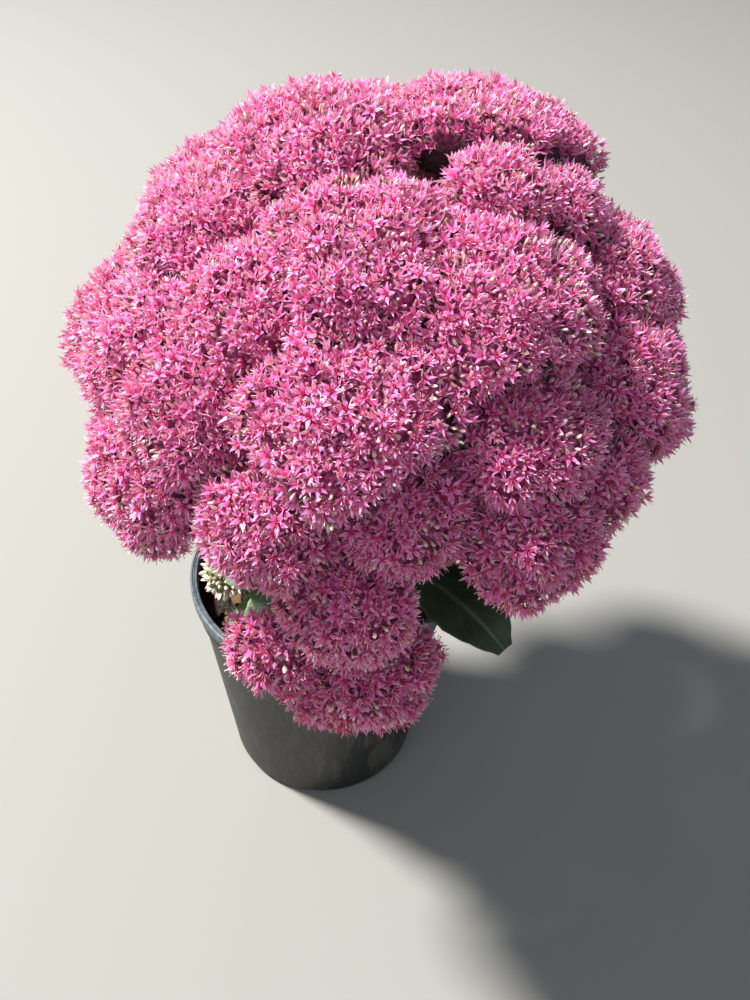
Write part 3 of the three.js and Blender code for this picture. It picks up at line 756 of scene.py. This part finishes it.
def headCore(row, skin):
    # the crowded inside: a ball drawn out to the florets' stalks and flattened below
    bpy.ops.object.select_all(action="DESELECT")
    bpy.ops.mesh.primitive_ico_sphere_add(subdivisions=3, radius=1)
    piece = bpy.context.object
    piece.data.materials.append(skin)
    ways = unit(points(piece.data))
    above = ways @ row["axis"] > 0
    top = freeReach(row, ways) + head["coreRise"] * mm
    far = np.where(above, top, freeReach(row, ways, head["coreUnder"]))
    lumps = [noise.noise(Vector(w) * row["radius"] / (head["lumpLength"] * mm)) for w in ways]
    far = np.maximum(far + np.array(lumps) * head["lump"] * mm * above, head["coreLeast"] * mm)
    nearest = limit(row, ways) - head["coreGap"] * mm
    setPoints(piece.data, row["centre"] + ways * np.minimum(far, nearest)[:, None])
    bpy.ops.object.shade_smooth()
    # painted shade: the tint says how deep a neighbour presses the core into a crease, and the inside
    # darkens with it
    setAttribute(piece.data, "tint", np.clip((far - nearest) / (head["shade"] * mm), 0, 1))
    return piece


def flowerHead(row):
    grown = bloomOf(row)
    places, normals = flowerPlaces(row, grown["spacing"], head["lowest"])
    opened = chooseOpen(row, places)
    places, normals = inTufts(row, places, normals)
    # low heads lean to the rosier, darker run: partly older flowers, partly painted shade under the crown
    rosiness = grown["rosiness"] + head["flush"] * chance(row["seed"] + 70)
    pieces = [headCore(row, coreSkin)]
    for place, normal, isOpen in zip(places, normals, opened):
        kind, share, sizes, tilt = closedBud, head["budShare"], head["budSize"], head["budTilt"]
        if isOpen:
            stage = draw.random()
            kind, share, sizes, tilt = closingStar, 1, head["starSize"], head["tilt"]
            if stage < grown["raised"]:
                kind = openStar if stage < grown["flat"] else raisedStar
        lift = grown["lift"] + grown["liftRange"] * draw.random() * share
        tint = min(1, max(0, draw.gauss(rosiness, head["rosySpread"]))) if isOpen else draw.random()
        piece = copyOf(kind, tint)
        at = Vector(row["centre"] + place + normal * lift * mm)
        piece.data.transform(standOn(at, normal, grown["size"] * draw.uniform(*sizes), tilt))
        pieces.append(piece)
    print("flower head", row["name"], int(opened.sum()), "stars", int((~opened).sum()), "buds")
    return joined(pieces, "flower_head_" + row["name"])


heads = []
for rows in stems.values():
    for line in rows:
        heads.append(domeHead(line, len(heads) + 1))
for row in heads:
    settle(flowerHead(row), ["head_" + row["name"]])
print("flower heads made")


# Stems, with their twigs and leaves
stalk = {
    "radius": 3.8,
    "foot": 106,  # 40 mm down in the soil
    "footSwell": 1.1,
    "upright": 0.42,
    "arrival": 0.4,
    "tuck": 5.3,  # from a head's centre down to its stem's end
    "spread": (0.22, 0.36),
    "sideShare": 0.6,
    "sideRadius": 2.8,
    "sideArrival": 0.55,
    "taper": 0.25,
    "nodes": (0.2, 0.36, 0.53, 0.68, 0.82, 0.93),  # where leaves sit or have been, a little swollen
    "swelling": 0.2,
    "nodeLength": 0.014,
    "sides": 8,
    "steps": 44,
}
twig = {
    "radius": 1.7,
    "fine": 1.1,
    "manyOver": 50,  # three of the solids' twigs under a head wider than this, else two
    "spread": 0.52,
    "room": 4,
    "fork": 40,  # the first leaves its stalk so far down, and each next one a step higher
    "step": 5,
    "lowest": 0.3,
    "slope": 0.75,
    "clear": 1.2,
    "bend": 0.55,
    "thick": (1.15, 0.4),  # of its radius at the foot, and what it loses to its tip
    "extra": 9,  # finer branches under a head, beside those of the solids
    "extraSpread": 0.8,
    "extraReach": (0.55, 1),
    "extraFork": (8, 30),
    "extraSag": 2,
    "sides": 5,
    "steps": 5,
}
leaf = {
    "length": 76,
    "width": 36,
    "thickness": 2.4,
    "fold": 0.2,
    "neck": 0.12,
    "forward": 1.5,
    "fullness": 0.7,
    "tipCut": 0.985,  # where the tip ends blunt
    "thinning": 0.5,
    "stations": 6,
    "rise": 30,
    "droop": 75,
    "lowest": 0.36,
    "step": 0.17,
    "teeth": 9.1,  # rounded and leaning forwards, along the outer three quarters of a side
    "tooth": 0.07,
    "toothLean": 0.6,
    "toothless": 0.25,
    "toothFade": 0.2,
    "thinEdge": 0.6,
    "ripple": 0.07,
    "ripples": (11, 2),  # radians along a leaf and across it
    "groove": (0.35, 0.09),  # depth, and width as a share of half a leaf's
    "rib": (0.8, 0.1),
    "cells": (26, 10),  # of a blade, along and across
    # what each new try for a free place changes
    "higher": 0.03,
    "turn": 137.5,
    "lower": 8,
    "shorter": 0.06,
    "rubbed": (0.1, 0.9),
}

# leaves under the front heads: stem, share up its stalk, bearing, rise, droop, length, wax bloom rubbed off
frontLeaves = [
    ("round", 0.46, -48, 25, 60, 90, 1.0),
    ("round", 0.63, -14, 5, 45, 92, 0.9),
    ("left_low", 0.52, -129, 10, 80, 54, 0.0),
    ("left_low", 0.5, -98, -10, 50, 62, 0.6),
    ("hanging", 0.44, -168, 34, 80, 64, 0.4),
    ("hanging", 0.6, -60, 20, 60, 60, 1.0),
]

# the other leaves, low and high on their stem, each with the try that found it a free place in the solids
hiddenLeaves = {
    "top": [(0, 6), (1, 9)],
    "crown": [(1, 39)],
    "left": [(0, 0), (1, 2)],
    "front": [(0, 16), (1, 7)],
    "right": [(0, 3), (1, 23)],
    "right_side": [(0, 0), (1, 3)],
    "right_low": [(0, 12), (1, 8)],
    "back": [(0, 12), (1, 4)],
    "back_left": [(0, 0), (1, 9)],
    "back_low": [(0, 0), (1, 0)],
    "back_corner": [(0, 0), (1, 0)],
}


def bezier(corners):  # a curve from 0 to 1, drawn by two, three or four corner points
    corners = [np.asarray(c, float) for c in corners]
    n = len(corners) - 1

    def at(t):
        t = np.asarray(t, float)[..., None]
        return sum(math.comb(n, k) * t**k * (1 - t) ** (n - k) * c for k, c in enumerate(corners))

    return at


def evenly(curve):  # the same curve, read by its share of length, and the length
    t = np.linspace(0, 1, 201)
    line = curve(t)
    run = np.concatenate([[0], np.cumsum(np.linalg.norm(np.diff(line, axis=0), axis=1))])
    return (lambda s: curve(np.interp(s, run / run[-1], t))), run[-1]


def makeRod(name, sides, steps):  # a bar of radius 1 and length 1 up the z axis, to be bent
    piece = startPiece(name, [stemSkin])
    bpy.ops.mesh.primitive_circle_add(vertices=sides, radius=1, location=(0, 0, 0), fill_type="NGON")
    extrudeThrough([((0, 0, i / steps), (1, 1, 1)) for i in range(steps + 1)])
    return putAside(closePiece(piece, 60))


def bent(rod, curve, radiusAt):  # a copy of the rod laid along a curve
    piece = copyOf(rod)
    own = points(piece.data)
    t = own[:, 2]
    spine = curve(t)
    ahead = unit(curve(np.minimum(1, t + 0.01)) - curve(np.maximum(0, t - 0.01)))
    ends = curve(np.array([0, 0.5, 1]))
    flat = np.cross(ends[2] - ends[0], ends[1] - ends[0])
    if np.linalg.norm(flat) < 1e-9:  # a straight one takes any side
        flat = np.cross(ends[2] - ends[0], (0.31, 0.2, 0.93))
    side = unit(np.cross(ahead, np.cross(unit(flat), ahead)))
    front = np.cross(ahead, side)
    radius = radiusAt(t)[:, None]
    setPoints(piece.data, spine + radius * (own[:, :1] * side + own[:, 1:2] * front))
    return piece


def under(row, distance):  # a place on a head's axis, down from its centre
    return row["centre"] - row["axis"] * distance


def stalkCurve(row):
    middle = np.array(dome["middle"]) * mm
    low = 1 - (row["centre"][2] - middle[2]) / (dome["height"] * mm)
    foot = (row["centre"] - middle) * between(stalk["spread"], min(1, low))
    foot[0] += potAxis
    foot[2] = stalk["foot"] * mm
    far = np.linalg.norm(foot - row["centre"])
    start = foot + up * stalk["upright"] * far
    return bezier([foot, start, under(row, stalk["arrival"] * far), under(row, stalk["tuck"] * mm)])


def sideCurve(main, row):
    start = main(stalk["sideShare"])
    bend = under(row, stalk["sideArrival"] * np.linalg.norm(start - row["centre"]))
    return bezier([start, bend, under(row, stalk["tuck"] * mm)])


def stalkRadius(base):
    def at(t):
        bulge = sum(np.exp(-(((t - n) / stalk["nodeLength"]) ** 2)) for n in stalk["nodes"])
        return base * mm * (stalk["footSwell"] - stalk["taper"] * t + stalk["swelling"] * bulge)

    return at


def twigsUnder(row, curve):
    # the solids' own twigs first, then finer ones that fan out further round the head
    count = 3 if row["radius"] > twig["manyOver"] * mm else 2
    spread = row["radius"] - head["rise"] * mm
    along, length = evenly(curve)
    foot, loss = twig["thick"]
    fan = []
    for i in range(count + twig["extra"]):
        if i < count:
            fork, far = twig["fork"] - i * twig["step"], twig["spread"]
            turn, thick, sag = i * 2 * math.pi / count, twig["radius"], 0
        else:
            fork = between(twig["extraFork"], chance(i + row["seed"]))
            far = twig["extraSpread"] * between(twig["extraReach"], chance(3 * i + row["seed"]))
            turn, thick, sag = i * goldenAngle, twig["fine"], twig["extraSag"] * mm
        start = along(max(twig["lowest"], 1 - fork * mm / length))
        lateral = direction(row, math.pi / 2, turn + row["seed"])
        out = min(far * row["radius"], limit(row, lateral[None])[0] - twig["room"] * mm)
        cone = head["underside"] * mm * (1 - twig["slope"] * out / spread)
        end = under(row, cone + (0.3 + twig["clear"] * thick) * mm) + lateral * out
        bend = start + (end - start) * twig["bend"] - row["axis"] * sag
        fan.append(bent(twigRod, bezier([start, bend, end]), lambda t: thick * mm * (foot - loss * t)))
    return fan


def makeBlade():
    # a flat leaf in its own measure: along 0 to 1, across -1 to 1, under and upper skin at -1 and 1
    piece = startPiece("blade", [leafSkin])
    cells = leaf["cells"]
    bpy.ops.mesh.primitive_grid_add(x_subdivisions=cells[0], y_subdivisions=cells[1], size=2)
    bpy.ops.transform.resize(value=(0.5, 1, 1), center_override=(1, 0, 0))
    bpy.ops.object.mode_set(mode="OBJECT")
    wall = piece.modifiers.new("wall", "SOLIDIFY")
    wall.thickness, wall.offset = 2, 0
    bpy.ops.object.modifier_apply(modifier="wall")
    bpy.ops.object.mode_set(mode="EDIT")
    closePiece(piece, 50)
    own = points(piece.data)
    setAttribute(piece.data, "along", own[:, 0])
    setAttribute(piece.data, "across", own[:, 1])
    return putAside(piece)


def midline(base, bearing, rise, droop, length, u):
    # the midrib's points, as the solid's leaf takes them in six steps, and the ways aside and up
    b = math.radians(bearing)
    ahead = np.array([math.cos(b), math.sin(b), 0])
    side = np.array([-math.sin(b), math.cos(b), 0])
    steps = leaf["stations"]
    stations = [np.asarray(base, float)]
    for i in range(steps):
        pitch = math.radians(rise - droop * i / steps)
        move = ahead * math.cos(pitch) + up * math.sin(pitch)
        stations.append(stations[-1] + move * length * mm / steps)
    stations = np.array(stations)
    at = np.linspace(0, 1, steps + 1)
    line = np.stack([np.interp(u, at, stations[:, k]) for k in range(3)], axis=-1)
    pitch = np.radians(rise - droop * u)[..., None]
    over = up * np.cos(pitch) - ahead * np.sin(pitch)
    return line, side, over


def leafOn(base, bearing, rise, droop, length, rubbed, seed):
    piece = copyOf(blade, rubbed)
    own = points(piece.data)
    u, v, w = own[:, 0], own[:, 1], own[:, 2]
    line, side, over = midline(base, bearing, rise, droop, length, u)
    widest = leaf["width"] * length / leaf["length"] / 2 * mm
    full = np.sin(math.pi * np.minimum(u, leaf["tipCut"]) ** leaf["forward"]) ** leaf["fullness"]
    aside = np.abs(v)
    saw = (u * leaf["teeth"] + 0.2 * chance(seed + 5)) % 1
    teeth = np.sin(math.pi * saw ** leaf["toothLean"]) - 0.6
    toothed = 1 + leaf["tooth"] * teeth * np.clip((u - leaf["toothless"]) / leaf["toothFade"], 0, 1)
    half = widest * (leaf["neck"] + (1 - leaf["neck"]) * full * toothed)
    thick = leaf["thickness"] / 2 * mm * (1 - leaf["thinning"] * u) * (1 - leaf["thinEdge"] * aside**3)
    wave = u * leaf["ripples"][0] + v * leaf["ripples"][1] + 6.28 * chance(seed + 9)
    lift = half * (leaf["fold"] * aside**1.5 + leaf["ripple"] * np.sin(wave) * aside * np.clip(u * 2, 0, 1))
    (groove, grooveWidth), (rib, ribWidth) = leaf["groove"], leaf["rib"]
    height = lift + w * thick - groove * mm * np.exp(-((v / grooveWidth) ** 2)) * (w > 0)
    height -= rib * mm * np.exp(-((v / ribWidth) ** 2)) * (w < 0) * (1 - u)
    setPoints(piece.data, line + side * (v * half)[:, None] + over * height[:, None])
    return piece


def leavesOf(name, number, main):
    along, _ = evenly(main)
    rows = [(along(share), *shape) for stem, share, *shape in frontLeaves if stem == name]
    for node, k in hiddenLeaves.get(name, []):
        row = (
            along(leaf["lowest"] + leaf["step"] * node + leaf["higher"] * (k % 4)),
            360 * chance(2 * number + node + 1) + leaf["turn"] * k,
            leaf["rise"] - leaf["lower"] * (k % 3),
            leaf["droop"],
            leaf["length"] * (1 - leaf["shorter"] * (k % 5)),
            between(leaf["rubbed"], chance(10 * number + node)),
        )
        rows.append(row)
    print("stem", name, "with", len(rows), "leaves")
    return [leafOn(*row, 10 * number + i) for i, row in enumerate(rows)]


def leafyStem(name, number, rows):
    first, *others = [row for line in rows for row in heads if row["name"] == line[0]]
    main = stalkCurve(first)
    pieces = [bent(stalkRod, main, stalkRadius(stalk["radius"]))] + twigsUnder(first, main)
    for row in others:
        curve = sideCurve(main, row)
        pieces.append(bent(stalkRod, curve, stalkRadius(stalk["sideRadius"])))
        pieces += twigsUnder(row, curve)
    pieces += leavesOf(name, number, main)
    return joined(pieces, "leafy_stem_" + name)


stalkRod = makeRod("stalkRod", stalk["sides"], stalk["steps"])
twigRod = makeRod("twigRod", twig["sides"], twig["steps"])
blade = makeBlade()
for number, (name, rows) in enumerate(stems.items()):
    settle(leafyStem(name, number, rows), ["stem_" + name])
print("leafy stems made")


# The cluster of closed buds low inside the rim
truss = {
    "tip": (-92, -43, 217),
    "axis": (-0.35, -0.3, 0.9),
    "radius": 19,
    "height": 18,
    "spacing": 3.4,
    "lowest": 104,
    "size": 1.2,
    "sizes": (0.8, 1.1),
    "lift": (-1.5, 1.0),
    "tilt": 20,
    "rosiness": (0.1, 0.1),
    "stemRadius": 0.8,  # of the other stems'
}


def budTruss():
    axis = unit(np.array(truss["axis"]))
    row = headAt("buds", 0, np.array(truss["tip"]) * mm, axis, truss["radius"], truss["height"])
    places, normals = flowerPlaces(row, truss["spacing"], truss["lowest"])
    pieces = [headCore(row, trussSkin)]
    for place, normal in zip(places, normals):
        piece = copyOf(closedBud, min(1, max(0, draw.gauss(*truss["rosiness"]))))
        size = truss["size"] * draw.uniform(*truss["sizes"])
        at = Vector(row["centre"] + place + normal * draw.uniform(*truss["lift"]) * mm)
        piece.data.transform(standOn(at, normal, size, truss["tilt"]))
        pieces.append(piece)
    return row, joined(pieces, "bud_truss")


budRow, piece = budTruss()
settle(piece, ["bud_cluster"])
main = stalkCurve(budRow)
pieces = [bent(stalkRod, main, stalkRadius(stalk["radius"] * truss["stemRadius"]))]
piece = joined(pieces + twigsUnder(budRow, main), "leafy_stem_buds")
settle(piece, ["stem_buds"])
print("bud truss made")


# Soil, filled nearly to the rim
soil = {
    "level": 146,
    "radius": 77,
    "footRadius": 58,
    "bottom": 6.2,
    "cells": 84,
    "swell": 3.5,
    "swellLength": 52,
    "lump": 1.5,
    "lumpLength": 30,
    "crumb": 2.4,
    "crumbLength": 7,
    "fineCrumb": 0.6,
    "finer": 2.3,
}
chip = {
    "count": 130,
    "size": (11, 5, 1.8),
    "split": 1.1,
    "seeds": (1, 2, 3, 4),
    "sizes": (0.45, 1.15),
    "paleness": 1.4,
    "lean": 0.3,
    "lift": 0.5,
    "rim": 6,  # no chip nearer to the soil's edge
}


def soilHeight(x, y):
    bend = 2 * math.pi / (soil["swellLength"] * mm)
    wave = math.sin(bend * x + 1) * math.cos(bend * y)
    lump = math.sin(2 * math.pi * (x - y) / (soil["lumpLength"] * mm))
    place = Vector((x, y, 0)) / (soil["crumbLength"] * mm)
    crumb = noise.noise(place) + soil["fineCrumb"] * noise.noise(place * soil["finer"])
    return (soil["level"] + soil["swell"] * wave + soil["lump"] * lump + soil["crumb"] * crumb) * mm


def makeSoil():
    piece = startPiece("soil_fill", [soilCrumb])
    cells = soil["cells"]
    bpy.ops.mesh.primitive_grid_add(x_subdivisions=cells, y_subdivisions=cells, size=2)
    bpy.ops.mesh.select_all(action="SELECT")
    bpy.ops.mesh.region_to_loop()
    bpy.ops.mesh.extrude_region_move(TRANSFORM_OT_translate={"value": (0, 0, -1)})
    bpy.ops.mesh.edge_face_add()
    bpy.ops.object.mode_set(mode="OBJECT")
    own = points(piece.data)
    x, y, low = own[:, 0].copy(), own[:, 1].copy(), own[:, 2] < -0.5
    # the square grid is drawn out to a disc
    own[:, 0] = x * np.sqrt(1 - y * y / 2)
    own[:, 1] = y * np.sqrt(1 - x * x / 2)
    radius = np.where(low, soil["footRadius"], soil["radius"]) * mm
    own[:, :2] *= radius[:, None]
    own[:, 0] += potAxis
    for place, isLow in zip(own, low):
        place[2] = soil["bottom"] * mm if isLow else soilHeight(place[0], place[1])
    setPoints(piece.data, own)
    bpy.ops.object.mode_set(mode="EDIT")
    return closePiece(piece, 80)


def makeChip(seed):  # a split chip of bark
    piece = startPiece("chip", [barkChip])
    bpy.ops.mesh.primitive_cube_add(size=mm)
    bpy.ops.transform.resize(value=chip["size"], center_override=(0, 0, 0))
    bpy.ops.mesh.subdivide(number_cuts=2)
    bpy.ops.transform.vertex_random(offset=chip["split"] * mm, seed=seed)
    return putAside(closePiece(piece, 30))


def makeChips():
    patterns = [makeChip(seed) for seed in chip["seeds"]]
    pieces = []
    for i in range(chip["count"]):
        far = (soil["radius"] - chip["rim"]) * math.sqrt(draw.random()) * mm
        turn = draw.uniform(0, 2 * math.pi)
        x, y = far * math.cos(turn) + potAxis, far * math.sin(turn)
        piece = copyOf(patterns[i % len(patterns)], draw.random() ** chip["paleness"])
        size = Matrix.Scale(draw.uniform(*chip["sizes"]), 4)
        spin = Matrix.Rotation(draw.uniform(0, wholeTurn), 4, "Z")
        leanX, leanY = (Matrix.Rotation(draw.gauss(0, chip["lean"]), 4, axis) for axis in "XY")
        place = Matrix.Translation((x, y, soilHeight(x, y) + chip["lift"] * mm))
        piece.data.transform(place @ leanX @ leanY @ spin @ size)
        pieces.append(piece)
    for pattern in patterns:
        bpy.data.objects.remove(pattern)
    return joined(pieces, "bark_chips")


settle(makeSoil(), ["soil"])
piece = makeChips()
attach(piece, "root")
print("soil made")


# The nursery pot, moulded in one with its rolled lip and collar
pot = {
    "height": 165,
    "lipRadius": 82.5,
    "lipWidth": 4.6,
    "lipHeight": 8,
    "collarRadius": 79.8,
    "collarHeight": 20.5,
    "shoulderRadius": 78.2,
    "footRadius": 63.5,
    "footCorner": 3.5,
    "footRing": 5,
    "footSlope": 3,
    "footRecess": 4,
    "wall": 1.6,
    "innerRound": 1.3,  # of the lip's edges
    "outerRound": 1.5,
    "rings": (0.42, 0.66),  # two fine rings moulded into the lip's top, at these shares of its width
    "ringHalf": 0.42,
    "ringDepth": 0.8,
    "sides": 128,
    "drainHoles": 6,
    "drainRadius": 5,
    "drainSides": 24,
    "drill": (6, 4.8),  # length, and height of its middle
}


def arc(radius, height, size, start, end, steps=4):  # part of a circle in the profile
    turns = [math.radians(start + (end - start) * i / steps) for i in range(steps + 1)]
    return [(radius + size * math.cos(a), height + size * math.sin(a)) for a in turns]


def potProfile():
    # radius and height, up the inside from the floor, over the lip, down past the collar and in to the
    # recess; what is added to the named sizes rounds the corners between them
    h, wall, lip, width = pot["height"], pot["wall"], pot["lipRadius"], pot["lipWidth"]
    shoulder, foot, collar = pot["shoulderRadius"], pot["footRadius"], pot["collarRadius"]
    low, deep = h - pot["lipHeight"], h - pot["collarHeight"]
    floor = pot["footRecess"] + wall
    tread = foot - pot["footCorner"]
    recess = tread - pot["footRing"] - pot["footSlope"]
    line = [(tread - wall - 2, floor)]
    line += arc(foot - wall - 5, floor + 5, 5, -80, -8)
    line += [(shoulder - wall, deep), (lip - width - 0.2, low + 1)]
    inner, outer, half = pot["innerRound"], pot["outerRound"], pot["ringHalf"]
    line += arc(lip - width + inner, h - inner, inner, 180, 100)
    for ring in pot["rings"]:
        middle = lip - width + width * ring
        line += [(middle - half, h), (middle, h - pot["ringDepth"]), (middle + half, h)]
    line += arc(lip - outer, h - outer, outer, 80, -5)
    line += [(lip - 0.1, low + 1)] + arc(lip - 0.9, low + 0.8, 0.8, 0, -90)
    line += [(collar + 0.3, low), (collar - 0.7, low - 0.8), (collar - 0.7, low - 2.2), (collar, low - 3)]
    line += [(collar, deep + 0.9)] + arc(collar - 0.5, deep + 0.4, 0.5, 0, -60)
    line += [(shoulder - 0.1, deep - 0.9), (shoulder - 0.4, deep - 2)]
    line += arc(foot - 4.6, 6.2, 5.6, 4, -58, 6)
    line += [(tread, 0.15), (tread - 0.5, 0), (tread - pot["footRing"], 0)]
    line += [(recess + 0.6, pot["footRecess"] - 0.8), (recess, pot["footRecess"])]
    return line


def makePot():
    piece = startPiece("nursery_pot", [potPlastic])
    line = potProfile()
    radius, z = line[0]
    bpy.ops.mesh.primitive_circle_add(
        vertices=pot["sides"], radius=radius * mm, location=(potAxis, 0, z * mm), fill_type="NGON"
    )
    bpy.ops.mesh.select_mode(type="EDGE")
    bpy.ops.mesh.region_to_loop()
    extrudeThrough([((potAxis, 0, z * mm), (r, r, 1)) for r, z in line])
    bpy.ops.mesh.edge_face_add()
    bpy.ops.mesh.select_mode(type="VERT")
    closePiece(piece, 32)
    # drain holes, one in each sixth of the recess
    drill = startPiece("drill", [potPlastic])
    deep, middle = (size * mm for size in pot["drill"])
    ring = (line[-1][0] - 2 * pot["drainRadius"]) * mm
    for i in range(pot["drainHoles"]):
        turn = (i + 0.5) / pot["drainHoles"] * 2 * math.pi
        place = (potAxis + ring * math.cos(turn), ring * math.sin(turn), middle)
        bpy.ops.mesh.primitive_cylinder_add(
            vertices=pot["drainSides"], radius=pot["drainRadius"] * mm, depth=deep, location=place
        )
    bpy.ops.object.mode_set(mode="OBJECT")
    cut = piece.modifiers.new("holes", "BOOLEAN")
    cut.operation, cut.object, cut.solver = "DIFFERENCE", drill, "EXACT"
    bpy.context.view_layer.objects.active = piece
    bpy.ops.object.modifier_apply(modifier="holes")
    bpy.data.objects.remove(drill)
    return piece


settle(makePot(), ["pot"])
print("pot made")


# Studio floor
board, shader, _ = startMaterial("studio_board")  # pale and matt
setNode(shader, {"Base Color": linear(0x8E8D88), "Roughness": 0.85})
bpy.ops.object.select_all(action="DESELECT")
bpy.ops.mesh.primitive_plane_add(size=8)
floor = bpy.context.object
floor.name = "studio_floor"
floor.data.materials.append(board)

for pattern in (openStar, raisedStar, closingStar, closedBud, stalkRod, twigRod, blade):
    bpy.data.objects.remove(pattern)

print("finished")
